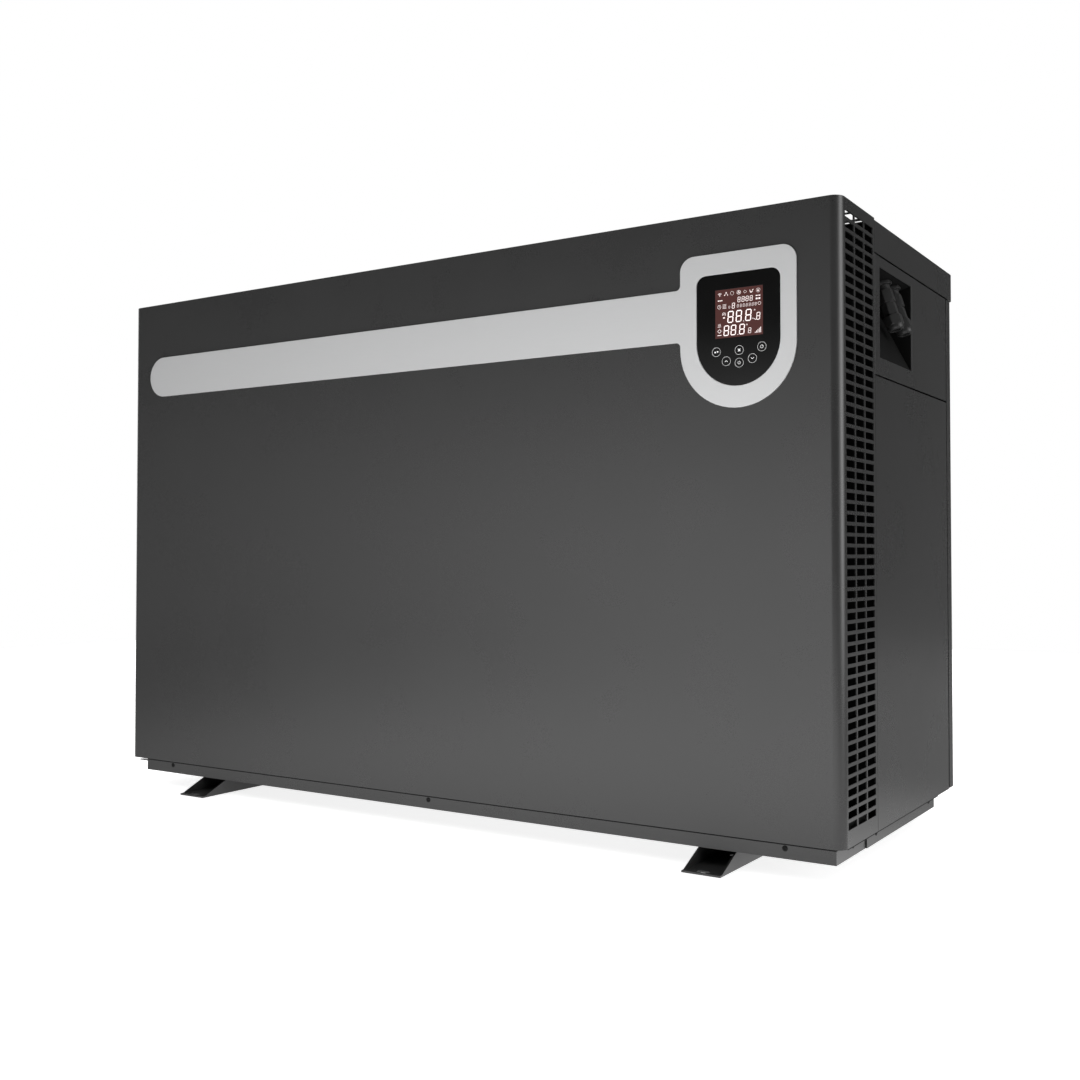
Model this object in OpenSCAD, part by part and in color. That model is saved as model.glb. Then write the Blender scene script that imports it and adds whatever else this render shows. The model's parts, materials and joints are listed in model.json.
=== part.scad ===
// Swimming-pool heat pump with a closed flat front, side air outlets and a silver display shield.
// Millimetres, +Z up. The front faces -Y and +X is the viewer's right.
// The origin is on the floor, at the centre of the four anchor slots in the feet.

/* [Casing] */
// Overall width of the casing
case_w = 1002.8; // [960:0.2:1040]
// Sideways offset of the casing's centre from the base pan's centre
case_shift = -12.7; // [-15:0.1:-11]
// Depth from the front face to the back edge of the lid
case_d = 397.8; // [390:0.1:410]
// Depth of the front cover's side returns
cover_d = 100.8; // [96:0.1:104]
// Height of the front cover above the underside of the base pan
cover_h = 629.8; // [600:0.1:660]
// Corner radius between the front face and the side returns
cover_r = 11.2; // [6:0.1:12]
// Sheet metal thickness of the casing
sheet = 1.2; // [0.8:0.1:1.5]
// Height of the lid's skirt
skirt_h = 32.2; // [26:0.1:34]

/* [Air outlets] */
// Width of one outlet hole, front to back
vent_w = 25.1; // [20:0.1:26]
// Height of one outlet hole
vent_h = 6.9; // [4:0.1:8]
// Pitch of the outlet columns
vent_pitch_y = 28.6; // [27:0.1:29]
// Pitch of the outlet rows
vent_pitch_z = 10.36; // [9:0.01:10.4]
// Number of outlet rows in each side
vent_rows = 57; // [40:1:57]

/* [Display] */
// Radius of the shield's round bottom
shield_r = 61.7; // [56:0.1:64]
// Height of the silver band
band_h = 52.8; // [44:0.1:56]
// Thickness of the silver band and shield
band_t = 2; // [1.5:0.1:3]
// Radius of the black glass's round bottom
glass_r = 44.3; // [40:0.1:48]
// Sideways position of the shield's centre line
display_x = 384; // [340:1:400]

/* [Base and feet] */
// Width of the base pan
base_w = 962.4; // [940:0.1:970]
// Height of the feet
foot_h = 18.5; // [16:0.1:24]
// Width of one foot
foot_w = 41.4; // [36:0.1:50]
// Length of one foot
foot_l = 462; // [450:1:480]
// Distance between the centres of the feet
foot_gap = 715; // [680:1:730]
// Front to back distance between the anchor slots
slot_gap = 450; // [440:1:460]
// Length of an anchor slot
slot_l = 13; // [10:0.5:16]
// Width of an anchor slot
slot_w = 7.5; // [6:0.5:9]

/* [Fan] */
// Radius of the fan's blade tips
fan_r = 214; // [180:1:216]
// Radius of the orifice throat
orifice_r = 221; // [219:1:224]
// Number of blades
blades = 3; // [3:1:5]
// Radius of the motor shaft
shaft_r = 6; // [5:0.5:8]

/* [Water circuit] */
// Radius of the heat exchanger's shell
exch_r = 75; // [60:1:75]
// Radius of the pipe sockets in the union tails
socket_r = 25.1; // [24:0.1:25.2]
// Depth of the pipe sockets
socket_l = 31; // [28:1:34]
// Height of the lower water port above the floor
port_low_z = 120; // [110:1:130]
// Height of the upper water port above the floor
port_high_z = 400; // [380:1:410]

/* [Cable glands] */
// Tilt of the glands from the vertical
gland_tilt = 17; // [12:1:20]
// Radius of the rubber seal's cable hole
cable_r = 4.5; // [3:0.5:5]
// Distance between the two glands
gland_gap = 32; // [28:1:34]

/* [Hidden] */
$fn = 64;
tiny = 0.01;
clear = 0.3;

case_x0 = case_shift - case_w / 2;
case_x1 = case_shift + case_w / 2;
front_y = -case_d / 2;
back_y = case_d / 2;
cover_back_y = front_y + cover_d;
cover_z0 = foot_h + 14.5;
cover_z1 = foot_h + cover_h;
lid_z1 = cover_z1 - 1.9;
lid_z0 = lid_z1 - skirt_h;
seam_z = 490;
seam_gap = 1.8;
rear_y = 187.6;
guard_t = 2.5;
panel_y0 = cover_back_y + 0.6;
panel_y1 = 172;
panel_x0 = case_x1 - sheet;

pan_x = base_w / 2;
pan_y0 = front_y + 0.6;
pan_y1 = 126;
pan_ledge_y = 153;
pan_t = 1.5;
pan_top = foot_h + pan_t;
ledge_z = foot_h + 8.5;

vent_columns = 3;
vent_mid_y = front_y + 54;

bulk_y0 = cover_back_y + 0.9;
bulk_y1 = bulk_y0 + sheet;
wall_z0 = cover_z0 + 0.8;
wall_z1 = lid_z1 - 3;
part_x = 170;

recess_y0 = front_y + 117.3;
recess_y1 = front_y + 227.4;
recess_z0 = foot_h + 490.7;
recess_z1 = foot_h + 583.5;
recess_in = 41.5;
gland_x = case_x1 - 15.5;
gland_y = [recess_y0 + 55, recess_y0 + 55 + gland_gap];
gland_z = recess_z1 - (case_x1 - gland_x) * tan(gland_tilt);

fan_x = -155;
fan_z = 325;
motor_y0 = 4;
motor_y1 = 92;
motor_r = 62;
bracket_y = motor_y1;

coil_y0 = 139;
coil_y1 = 175;
coil_x0 = -504;
coil_x1 = 160;
coil_t = coil_y1 - coil_y0;
coil_z0 = ledge_z + 2 * pan_t;
coil_z1 = 606;
coil_bend = 70;
coil_end_y = panel_y0 + 22;

comp_x = 388;
comp_y = -20;
comp_r = 62;
comp_z0 = 50;
comp_z1 = 350;
comp_port = 14;
mount_r = 82;
mount_angles = [90, 210, 330];

exch_x = 272;
exch_y = 68;
exch_z0 = 46;
exch_z1 = 470;
port_r = 30;
port_bore = 22;
port_y = 222;
port_face_y = exch_y + exch_r - 8;
port_z = [port_low_z, port_high_z];
nut_r = 38;
nut_y0 = 203;
nut_lip_y = 228.2;
nut_y1 = 234;
tail_y0 = 222.4;
tail_y1 = 227.6 + socket_l;
tail_r = 28.5;
paddle_y = 168;
paddle_pivot_z = port_low_z + 14;

acc_x = 294;
acc_y = -55;
valve_x = 265;
valve_z = 425;
line_r = 5;
line_bend = 11;
header_x = 188;
header_y = 157;
header_r = 7;

shield_z0 = foot_h + 434.7;
shield_z1 = foot_h + 589.3;
shield_cz = shield_z0 + shield_r;
band_z0 = foot_h + 504.1;
band_x0 = -478.4;
glass_z1 = foot_h + 568.1;
glass_cz = foot_h + 456.2 + glass_r;
glass_t = 1.3;
glass_x = display_x + 0.9;
lcd = [360.7, 411.2, foot_h + 504.2, foot_h + 552.4];
lcd_back_y = front_y + 2.6;

ebox_floor = 493.2;

drain_x = -60;
drain_y = 60;
base_screw_x = [-430.5, 0, 430.5];
lid_screw_x = [-420, -140, 140, 420];
screw_z = foot_h + 10;
side_screw_y = [-151, -85, 104];
skirt_y0 = -114;
screw_r = 1.9;
head_r = 2.8;

BODY = [0.30, 0.30, 0.31];
SILVER = [0.76, 0.77, 0.78];
BLACK = [0.06, 0.06, 0.07];
DARK_COAT = [0.10, 0.10, 0.10];
BOARD = [0.08, 0.25, 0.12];
STEEL = [0.72, 0.73, 0.74];
COPPER = [0.76, 0.45, 0.30];
PVC = [0.22, 0.23, 0.25];

// ---------- shared shapes ----------

// A box given by its low and high corners.
module block(low, high) {
    translate(low) cube(high - low);
}

// A cylinder along +Y from y0 to y1.
module along_y(x, z, r, y0, y1) {
    translate([x, y0, z]) rotate([-90, 0, 0]) cylinder(h = y1 - y0, r = r);
}

// A flat plate in the XZ plane, from y0 to y1, from a 2D outline drawn as (x, z).
module front_plate(y0, y1) {
    translate([0, y1, 0]) rotate([90, 0, 0]) linear_extrude(y1 - y0) children();
}

// A flat plate in the YZ plane, from x0 to x1, from a 2D outline drawn as (y, z).
module side_plate(x0, x1) {
    translate([x0, 0, 0]) rotate([90, 0, 90]) linear_extrude(x1 - x0) children();
}

// A 2D rectangle given by its low and high corners.
module rect(x0, y0, x1, y1) {
    translate([x0, y0]) square([x1 - x0, y1 - y0]);
}

// A 2D slot with round ends, its length along the first axis.
module slot(len, w) {
    square([len - w, w], center = true);
    translate([-(len - w) / 2, 0]) circle(d = w);
    translate([(len - w) / 2, 0]) circle(d = w);
}

// Straight runs and quarter-turn elbows along a path whose legs follow the axes.
module tube_run(path, r, bend, over = 0) {
    last = len(path) - 1;
    for (i = [0 : last - 1]) {
        span = path[i + 1] - path[i];
        dir = span / norm(span);
        from = path[i] + dir * (i == 0 ? -over : bend);
        to = path[i + 1] - dir * (i == last - 1 ? -over : bend);
        leg(from, dir, norm(to - from), r);
    }
    for (i = [1 : 1 : last - 1]) {
        a = path[i] - path[i - 1];
        b = path[i + 1] - path[i];
        elbow(path[i], a / norm(a), b / norm(b), r, bend);
    }
}

// A cylinder from a point along an axis direction.
module leg(from, dir, length, r) {
    tip = abs(dir.z) > 0.5 ? (dir.z > 0 ? 0 : 180) : 90;
    turn = abs(dir.z) > 0.5 ? 0 : atan2(dir.y, dir.x);
    translate(from) rotate([0, tip, turn]) cylinder(h = length, r = r, $fn = 32);
}

// A quarter torus that turns direction a into direction b at a corner.
module elbow(corner, a, b, r, bend) {
    w = cross(-b, a);
    centre = corner - bend * a + bend * b;
    multmatrix([
        [-b.x, a.x, w.x, centre.x],
        [-b.y, a.y, w.y, centre.y],
        [-b.z, a.z, w.z, centre.z],
        [0, 0, 0, 1]
    ]) rotate_extrude(angle = 90) translate([bend, 0]) circle(r = r, $fn = 32);
}

// A refrigerant tube, open at both ends.
module copper_tube(path, r = line_r, bend = line_bend) {
    difference() {
        tube_run(path, r, bend);
        tube_run(path, r - 1, bend, 1);
    }
}

// ---------- casing ----------

// The cover's plan outline, its front corners rounded, ending at y1.
module cover_plan(inset, r, y1) {
    x0 = case_x0 + inset;
    x1 = case_x1 - inset;
    y0 = front_y + inset;
    rect(x0 + r, y0, x1 - r, y1);
    rect(x0, y0 + r, x1, y1);
    for (x = [x0 + r, x1 - r])
        translate([x, y0 + r]) circle(r = r);
}

// The outlet holes of both side returns.
module vent_cutters() {
    first_z = foot_h + 31.3;
    for (side = [case_x0, case_x1])
        side_plate(side - 4, side + 4)
            for (c = [0 : vent_columns - 1], k = [0 : vent_rows - 1])
                translate([vent_mid_y + (c - 1) * vent_pitch_y, first_z + k * vent_pitch_z])
                    rect(-vent_w / 2, 0, vent_w / 2, vent_h);
}

// The outlet slots in the cover's top return.
module top_slot_cutters() {
    count = 25;
    margin = 14;
    rib = 12;
    pitch = (case_w - 2 * margin + rib) / count;
    for (c = [0 : vent_columns - 1], k = [0 : count - 1]) {
        x = case_x0 + margin + k * pitch;
        y = vent_mid_y + (c - 1) * vent_pitch_y;
        block([x, y - vent_w / 2, cover_z1 - 4], [x + pitch - rib, y + vent_w / 2, cover_z1 + 4]);
    }
}

module front_cover() {
    height = cover_z1 - cover_z0;
    color(BODY) difference() {
        translate([0, 0, cover_z0]) linear_extrude(height) cover_plan(0, cover_r, cover_back_y);
        translate([0, 0, cover_z0 - 1]) linear_extrude(height + 1 - sheet)
            cover_plan(sheet, cover_r - sheet, cover_back_y + 1);
        vent_cutters();
        top_slot_cutters();
        block([glass_x - 35, front_y - 1, lcd[2] - 8], [glass_x + 35, front_y + 5, lcd[3] + 6]);
    }
}

// The D outline of the glass and, with a larger radius, of its seat.
module d_outline(r, top, corner) {
    rect(-r, glass_cz, r, top - corner);
    rect(-r + corner, glass_cz, r - corner, top);
    for (s = [-1, 1])
        translate([s * (r - corner), top - corner]) circle(r = corner);
    translate([0, glass_cz]) circle(r = r, $fn = 128);
}

module trim_band() {
    corner = 15;
    fillet = 5;
    band_z1 = band_z0 + band_h;
    left = display_x - shield_r;
    color(SILVER) front_plate(front_y - band_t, front_y) difference() {
        union() {
            rect(band_x0 + band_h / 2, band_z0, display_x, band_z1);
            translate([band_x0 + band_h / 2, band_z0 + band_h / 2]) circle(d = band_h);
            rect(left, shield_cz, left + 2 * shield_r, shield_z1 - corner);
            rect(left + corner, shield_cz, left + 2 * shield_r - corner, shield_z1);
            for (x = [left + corner, left + 2 * shield_r - corner])
                translate([x, shield_z1 - corner]) circle(r = corner);
            translate([display_x, shield_cz]) circle(r = shield_r, $fn = 128);
            difference() {
                rect(left - fillet, band_z0 - fillet, left + 1, band_z1 + fillet);
                for (z = [band_z0 - fillet, band_z1 + fillet])
                    translate([left - fillet, z]) circle(r = fillet);
            }
        }
        translate([glass_x, 0]) d_outline(glass_r + 0.15, glass_z1 + 0.15, 10);
    }
}

module display_glass() {
    color(BLACK) front_plate(front_y - glass_t, front_y) difference() {
        translate([glass_x, 0]) d_outline(glass_r, glass_z1, 9.9);
        rect(lcd[0], lcd[2], lcd[1], lcd[3]);
    }
}

module lcd_screen() {
    edge = 0.1;
    y0 = front_y - glass_t + 0.1;
    color([0.25, 0.17, 0.15])
        block([lcd[0] + edge, y0, lcd[2] + edge], [lcd[1] - edge, lcd_back_y, lcd[3] - edge]);
}

module display_board() {
    half_w = 33;
    y0 = lcd_back_y + 0.1;
    y1 = y0 + 1.6;
    chip = 10;
    color(BOARD) block([glass_x - half_w, y0, lcd[2] - 6], [glass_x + half_w, y1, lcd[3] + 4]);
    color(BLACK) for (x = [-20, 0, 20])
        translate([glass_x + x - chip / 2, y1, lcd[2] + chip]) cube([chip, 2.7, chip]);
}

module display_housing() {
    wall = 3;
    half_w = 43;
    lip = 8;
    y0 = front_y + sheet + 0.1;
    y1 = front_y + 22;
    z0 = lcd[2] - 16;
    z1 = lcd[3] + 14;
    color(PVC) difference() {
        union() {
            block([glass_x - half_w, y0, z0], [glass_x + half_w, y1, z1]);
            block([glass_x - half_w - lip, y0, z0], [glass_x + half_w + lip, front_y + 4, z1]);
        }
        block([glass_x - half_w + wall, front_y, z0 + wall],
            [glass_x + half_w - wall, y1 - wall, z1 - wall]);
    }
}

module top_lid() {
    edge_r = 5;
    y0 = cover_back_y + 0.4;
    color(BODY) difference() {
        union() {
            block([case_x0, y0, lid_z0], [case_x1, back_y - edge_r, lid_z1]);
            block([case_x0 + edge_r, y0, lid_z0], [case_x1 - edge_r, back_y, lid_z1]);
            for (x = [case_x0 + edge_r, case_x1 - edge_r])
                translate([x, back_y - edge_r, lid_z0]) cylinder(h = skirt_h, r = edge_r);
        }
        block([case_x0 + sheet, y0 - 1, lid_z0 - 1],
            [case_x1 - sheet, back_y - edge_r, lid_z1 - sheet]);
        block([case_x0 + edge_r, y0, lid_z0 - 1], [case_x1 - edge_r, back_y - sheet, lid_z1 - sheet]);
        for (x = [case_x0 + edge_r, case_x1 - edge_r])
            translate([x, back_y - edge_r, lid_z0 - 1])
                cylinder(h = skirt_h - sheet + 1, r = edge_r - sheet);
        for (x = lid_screw_x)
            along_y(x, lid_z0 + skirt_h / 2, screw_r, back_y - 5, back_y + 1);
    }
}

// A side panel: a flat sheet whose back edge turns inwards round a small bend.
module side_sheet(z0, z1) {
    bend = 4;
    translate([0, 0, z0]) linear_extrude(z1 - z0) difference() {
        union() {
            rect(panel_x0, panel_y0, case_x1, panel_y1 - bend);
            rect(case_x1 - bend - 6, panel_y1 - sheet, case_x1 - bend, panel_y1);
            translate([case_x1 - bend, panel_y1 - bend]) circle(r = bend);
        }
        translate([case_x1 - bend, panel_y1 - bend]) circle(r = bend - sheet);
        rect(case_x1 - 3 * bend, panel_y1 - 2 * bend, panel_x0, panel_y1 - sheet);
    }
}

module right_upper_panel() {
    color(BODY) difference() {
        side_sheet(seam_z + seam_gap / 2, lid_z0 - seam_gap);
        block([panel_x0 - 5, recess_y0, recess_z0], [case_x1 + 5, recess_y1, recess_z1]);
    }
}

module right_lower_panel() {
    skirt_x = pan_x + 0.2;
    hem_w = 9;
    z1 = seam_z - seam_gap / 2;
    color(BODY) difference() {
        union() {
            side_sheet(cover_z0, z1);
            // The upper edge is folded inwards.
            block([panel_x0 - hem_w, bulk_y1 + 16, z1 - sheet],
                [panel_x0 + tiny, panel_y1 - 12, z1]);
            // The skirt that laps over the base pan's edge.
            block([skirt_x, skirt_y0, foot_h], [skirt_x + sheet, pan_y1, cover_z0 + 8]);
            block([skirt_x, panel_y0, cover_z0 + 6], [panel_x0 + tiny, pan_y1, cover_z0 + 8]);
        }
        side_screw_cutters();
    }
}

module rear_service_panel() {
    tab_x1 = case_x1 - 2;
    tab_z1 = lid_z0 + 14;
    z0 = cover_z0 + 0.5;
    z1 = lid_z0 - seam_gap;
    color(BODY) {
        front_plate(rear_y - sheet, rear_y) difference() {
            union() {
                rect(part_x + 3, z0, case_x1, z1);
                // The top of the plate stands inside the lid's skirt.
                rect(part_x + 3, z0, tab_x1, tab_z1);
            }
            for (z = port_z)
                translate([exch_x, z]) circle(r = port_r + 3);
        }
        // The flange whose front edge shows behind the side panels.
        block([case_x1 - sheet, panel_y1 + 0.4, z0], [case_x1, rear_y, z1]);
    }
}

// A punched guard, drawn as (length, height), with columns and rows of openings.
module guard_outline(x0, x1, z0, z1, columns, rows) {
    edge = 14;
    bar = 3;
    step_x = (x1 - x0 - 2 * edge + bar) / columns;
    step_z = (z1 - z0 - 2 * edge + bar) / rows;
    difference() {
        rect(x0, z0, x1, z1);
        for (c = [0 : columns - 1], k = [0 : rows - 1])
            translate([x0 + edge + c * step_x, z0 + edge + k * step_z])
                square([step_x - bar, step_z - bar]);
    }
}

module rear_guard() {
    color(BODY) front_plate(rear_y - guard_t, rear_y)
        guard_outline(case_x0 + 2, part_x + 2, ledge_z + pan_t, lid_z0 + 14, 14, 22);
}

module left_guard() {
    x0 = case_x0 + 0.3;
    color(BODY) side_plate(x0, x0 + guard_t)
        guard_outline(panel_y0, rear_y - 3, cover_z0 + 0.5, lid_z0 - 0.8, 6, 22);
}

module foot_bolt_places() {
    for (x = [-foot_gap / 2, foot_gap / 2], y = [-100, 100])
        translate([x, y, 0]) children();
}

module base_pan() {
    rim = 13.3;
    step = 3;
    upstand = 34;
    ledge_x = case_x0 + 3;
    ledge_top = ledge_z + pan_t;
    above = foot_h + upstand + 1;
    color(BODY) difference() {
        union() {
            block([-pan_x, pan_y0, foot_h], [pan_x, pan_y1, foot_h + rim]);
            block([-pan_x + step, pan_y0 + step, foot_h], [pan_x - step, pan_y1, foot_h + upstand]);
            block([ledge_x, pan_y1 - 1, ledge_z], [pan_x - step - 8, pan_ledge_y, ledge_top]);
            block([ledge_x, pan_y0 + 4 * step, ledge_z], [-pan_x + step, pan_y1, ledge_top]);
        }
        block([-pan_x + step + pan_t, pan_y0 + step + pan_t, pan_top],
            [pan_x - step - pan_t, pan_y1 - pan_t, above]);
        // The coil and the guards stand on the low back and left edges.
        block([-pan_x - 1, pan_y1 - pan_t - 1, ledge_top], [pan_x + 1, pan_y1 + 1, above]);
        block([-pan_x - 1, panel_y0, ledge_top], [-pan_x + step + pan_t + 1, pan_y1 + 1, above]);
        foot_bolt_places() translate([0, 0, foot_h - 1]) cylinder(h = 4, r = 3.1);
        translate([drain_x, drain_y, foot_h - 1]) cylinder(h = 4, r = 9);
        for (x = base_screw_x)
            along_y(x, screw_z, screw_r, pan_y0 - 1, pan_y0 + 5);
        side_screw_cutters();
    }
}

// Holes for the screws along the right-hand lower edge.
module side_screw_cutters() {
    for (y = side_screw_y)
        translate([pan_x - 6, y, screw_z]) rotate([0, 90, 0]) cylinder(h = 10, r = screw_r);
}

// A channel foot: web on the floor, two walls up to the base pan, both ends sloped.
module foot(x) {
    t = 2;
    slope = 42;
    y1 = foot_l / 2;
    difference() {
        union() {
            block([x - foot_w / 2, -y1, 0], [x + foot_w / 2, y1, t]);
            for (wall_x = [x - foot_w / 2, x + foot_w / 2 - t])
                side_plate(wall_x, wall_x + t)
                    polygon([[-y1, 0], [y1, 0], [y1 - slope, foot_h], [-y1 + slope, foot_h]]);
            for (y = [-100, 100])
                block([x - foot_w / 2, y - 14, foot_h - t], [x + foot_w / 2, y + 14, foot_h]);
        }
        for (y = [-slot_gap / 2, -148, 148, slot_gap / 2])
            translate([x, y, -1]) linear_extrude(t + 2) slot(slot_l, slot_w);
        for (y = [-100, 100])
            translate([x, y, foot_h - t - 1]) cylinder(h = t + 2, r = 3.1);
    }
}

module foot_left() {
    color([0.2, 0.2, 0.2]) foot(-foot_gap / 2);
}

module foot_right() {
    color([0.2, 0.2, 0.2]) foot(foot_gap / 2);
}

module foot_bolts() {
    color(STEEL) foot_bolt_places() {
        translate([0, 0, foot_h - 8]) cylinder(h = 8 + pan_t + 1, r = 3);
        translate([0, 0, pan_top]) cylinder(h = 4, r = 5.77, $fn = 6);
        translate([0, 0, foot_h - 7]) cylinder(h = 5, r = 5.77, $fn = 6);
    }
}

module casing_screws() {
    shank_r = screw_r - 0.05;
    skirt_x = pan_x + 0.2 + sheet;
    color(BLACK) {
        for (x = base_screw_x) {
            along_y(x, screw_z, shank_r, pan_y0 - 0.1, pan_y0 + 4.6);
            along_y(x, screw_z, head_r, pan_y0 - 0.6, pan_y0);
        }
        for (y = side_screw_y) {
            x = y < skirt_y0 ? pan_x : skirt_x;
            translate([x - 5.5, y, screw_z]) rotate([0, 90, 0]) cylinder(h = 5.6, r = shank_r);
            translate([x, y, screw_z]) rotate([0, 90, 0]) cylinder(h = 0.6, r = head_r);
        }
        for (x = lid_screw_x) {
            along_y(x, lid_z0 + skirt_h / 2, shank_r, back_y - 6, back_y + 0.1);
            along_y(x, lid_z0 + skirt_h / 2, head_r + 1, back_y, back_y + 1.5);
        }
    }
}

// ---------- cable glands ----------

module gland_pocket() {
    drop = recess_in * tan(gland_tilt);
    x_in = case_x1 - recess_in;
    z_deep = recess_z1 - drop;
    color(DARK_COAT) difference() {
        side_pocket(x_in, z_deep, sheet, 0);
        side_pocket(x_in, z_deep, 0, 1);
        block([panel_x0 - 0.1, recess_y0 - 9, recess_z0 - 9],
            [case_x1 + 9, recess_y1 + 9, recess_z1 + 9]);
        for (y = gland_y)
            translate([gland_x, y, gland_z]) rotate([0, 180 - gland_tilt, 0])
                translate([0, 0, -6]) cylinder(h = 12, r = 8.1);
    }
}

// The pocket's wedge-shaped space, grown by a wall thickness.
module side_pocket(x_in, z_deep, wall, open) {
    x_out = case_x1 + open * 3;
    rise = wall / cos(gland_tilt);
    front_plate(recess_y0 - wall, recess_y1 + wall)
        polygon([
            [x_out, recess_z1 + rise + open * 3 * tan(gland_tilt)],
            [x_in - wall, z_deep + rise - wall * tan(gland_tilt)],
            [x_in - wall, z_deep - 2],
            [case_x1 - sheet - wall, recess_z0 - wall],
            [x_out, recess_z0 - wall]
        ]);
}

// Places a gland piece: local +Z runs down and outwards from the sloped plate.
module at_gland(i) {
    translate([gland_x, gland_y[i], gland_z]) rotate([0, 180 - gland_tilt, 0]) children();
}

module gland_body() {
    difference() {
        union() {
            translate([0, 0, -10]) cylinder(h = 12, r = 7.9);
            translate([0, 0, 0.1]) cylinder(h = 4, r = 10.8, $fn = 6);
            translate([0, 0, 4]) cylinder(h = 6, r = 7.2);
            translate([0, 0, 9]) cylinder(h = 15, r = 9.6, $fn = 6);
            translate([0, 0, 24]) cylinder(h = 14, r = 8.8, $fn = 6);
            translate([0, 0, 37]) cylinder(h = 8, r = 6.9);
        }
        translate([0, 0, -11]) cylinder(h = 60, r = 5.4);
    }
}

module gland_bodies() {
    color(PVC) for (i = [0, 1])
        at_gland(i) gland_body();
}

module gland_lock_nuts() {
    color(PVC) for (i = [0, 1])
        at_gland(i) difference() {
            translate([0, 0, -sheet - 5]) cylinder(h = 5, r = 11.5, $fn = 6);
            translate([0, 0, -12]) cylinder(h = 14, r = 7.9);
        }
}

module gland_nut(i) {
    at_gland(i) difference() {
        union() {
            translate([0, 0, 38.3]) cylinder(h = 11, r = 10.8, $fn = 6);
            translate([0, 0, 49.3]) cylinder(h = 2, r1 = 9.3, r2 = 9);
            translate([0, 0, 51.3]) cylinder(h = 3, r1 = 9, r2 = 7);
        }
        translate([0, 0, 38]) cylinder(h = 14, r = 7.2);
        translate([0, 0, 38]) cylinder(h = 20, r = 5.2);
    }
}

module gland_nut_front() {
    color(BLACK) gland_nut(0);
}

module gland_nut_rear() {
    color(BLACK) gland_nut(1);
}

module gland_seals() {
    color([0.1, 0.1, 0.1]) for (i = [0, 1])
        at_gland(i) difference() {
            translate([0, 0, 45.1]) cylinder(h = 6.7, r = 6.8);
            translate([0, 0, 44]) cylinder(h = 9, r = cable_r);
        }
}

// ---------- fan ----------

module fan_bulkhead() {
    x0 = case_x0 + 3.2;
    x1 = panel_x0 - 0.1;
    z0 = wall_z0 + 22;
    hem = 14;
    color(DARK_COAT) difference() {
        union() {
            front_plate(bulk_y0, bulk_y1) rect(x0, z0, x1, wall_z1);
            block([x0, bulk_y0, z0], [x0 + sheet, bulk_y0 + hem, wall_z1]);
            block([x1 - sheet, bulk_y0, z0], [x1, bulk_y0 + hem, wall_z1]);
        }
        along_y(fan_x, fan_z, orifice_r + 8, bulk_y0 - 5, bulk_y1 + 5);
    }
}

module fan_orifice() {
    depth = 48;
    flange = 20;
    color(BLACK) translate([fan_x, bulk_y1, fan_z]) rotate([-90, 0, 0]) rotate_extrude($fn = 128)
        difference() {
            union() {
                translate([orifice_r, 0]) square([flange, 3]);
                translate([orifice_r, 0]) square([3, depth]);
                translate([orifice_r, depth - 10]) square([10, 10]);
            }
            translate([orifice_r + 13, depth - 13]) circle(r = 10);
            translate([orifice_r - 0.1, depth + 3]) circle(r = 5);
        }
}

// One blade: sections along the radius, each a thin cambered chord set at its own pitch.
blade_steps = 6;
blade_side = [[-0.5, 0], [-0.25, 1], [0, 1.35], [0.25, 1], [0.5, 0]];
blade_t = 3;
blade_axial = -38;

function blade_point(i, p, top) =
    let (
        u = i / blade_steps,
        r = 48 + u * (fan_r - 48),
        chord = 96 + 78 * u,
        pitch = 42 - 20 * u,
        side = blade_side[p],
        along = side.x * chord,
        lift = side.y * 0.06 * chord + (top ? blade_t / 2 : -blade_t / 2),
        across = along * cos(pitch) - lift * sin(pitch),
        axial = along * sin(pitch) + lift * cos(pitch),
        sweep = across / r * 180 / PI + 16 * u
    )
    [r * cos(sweep), blade_axial + axial, r * sin(sweep)];

module fan_blade() {
    n = len(blade_side);
    ring = 2 * n;
    points = [for (i = [0 : blade_steps]) each concat(
        [for (p = [0 : n - 1]) blade_point(i, p, false)],
        [for (p = [n - 1 : -1 : 0]) blade_point(i, p, true)]
    )];
    sides = [for (i = [0 : blade_steps - 1], j = [0 : ring - 1]) each [
        [i * ring + j, i * ring + (j + 1) % ring, (i + 1) * ring + j],
        [i * ring + (j + 1) % ring, (i + 1) * ring + (j + 1) % ring, (i + 1) * ring + j]
    ]];
    root_cap = [for (j = [0 : n - 2]) each [
        [j, ring - 1 - j, j + 1],
        [j + 1, ring - 1 - j, ring - 2 - j]
    ]];
    base = blade_steps * ring;
    tip_cap = [for (j = [0 : n - 2]) each [
        [base + j, base + j + 1, base + ring - 1 - j],
        [base + j + 1, base + ring - 2 - j, base + ring - 1 - j]
    ]];
    polyhedron(points = points, faces = concat(sides, root_cap, tip_cap));
}

module fan_rotor() {
    hub_r = 55;
    hub_y0 = -78;
    hub_y1 = -8;
    color([0.1, 0.1, 0.11]) translate([fan_x, 0, fan_z]) difference() {
        union() {
            along_y(0, 0, hub_r, hub_y0, hub_y1);
            for (i = [0 : blades - 1])
                rotate([0, i * 360 / blades, 0]) fan_blade();
        }
        along_y(0, 0, hub_r - 4, hub_y0 + 5, hub_y1 + 1);
        along_y(0, 0, shaft_r + 0.05, hub_y0 - 1, hub_y1 + 1);
    }
    color([0.1, 0.1, 0.11]) translate([fan_x, 0, fan_z]) difference() {
        along_y(0, 0, 14, hub_y0 + 4, hub_y1 - 12);
        along_y(0, 0, shaft_r + 0.05, hub_y0 - 1, hub_y1 + 1);
    }
}

module fan_nut() {
    color(STEEL) difference() {
        translate([fan_x, -86, fan_z]) rotate([-90, 0, 0]) cylinder(h = 7.9, r = 11, $fn = 6);
        along_y(fan_x, fan_z, shaft_r, -90, -70);
    }
}

module motor_shaft() {
    color(STEEL) along_y(fan_x, fan_z, shaft_r, -90, 40);
}

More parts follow.
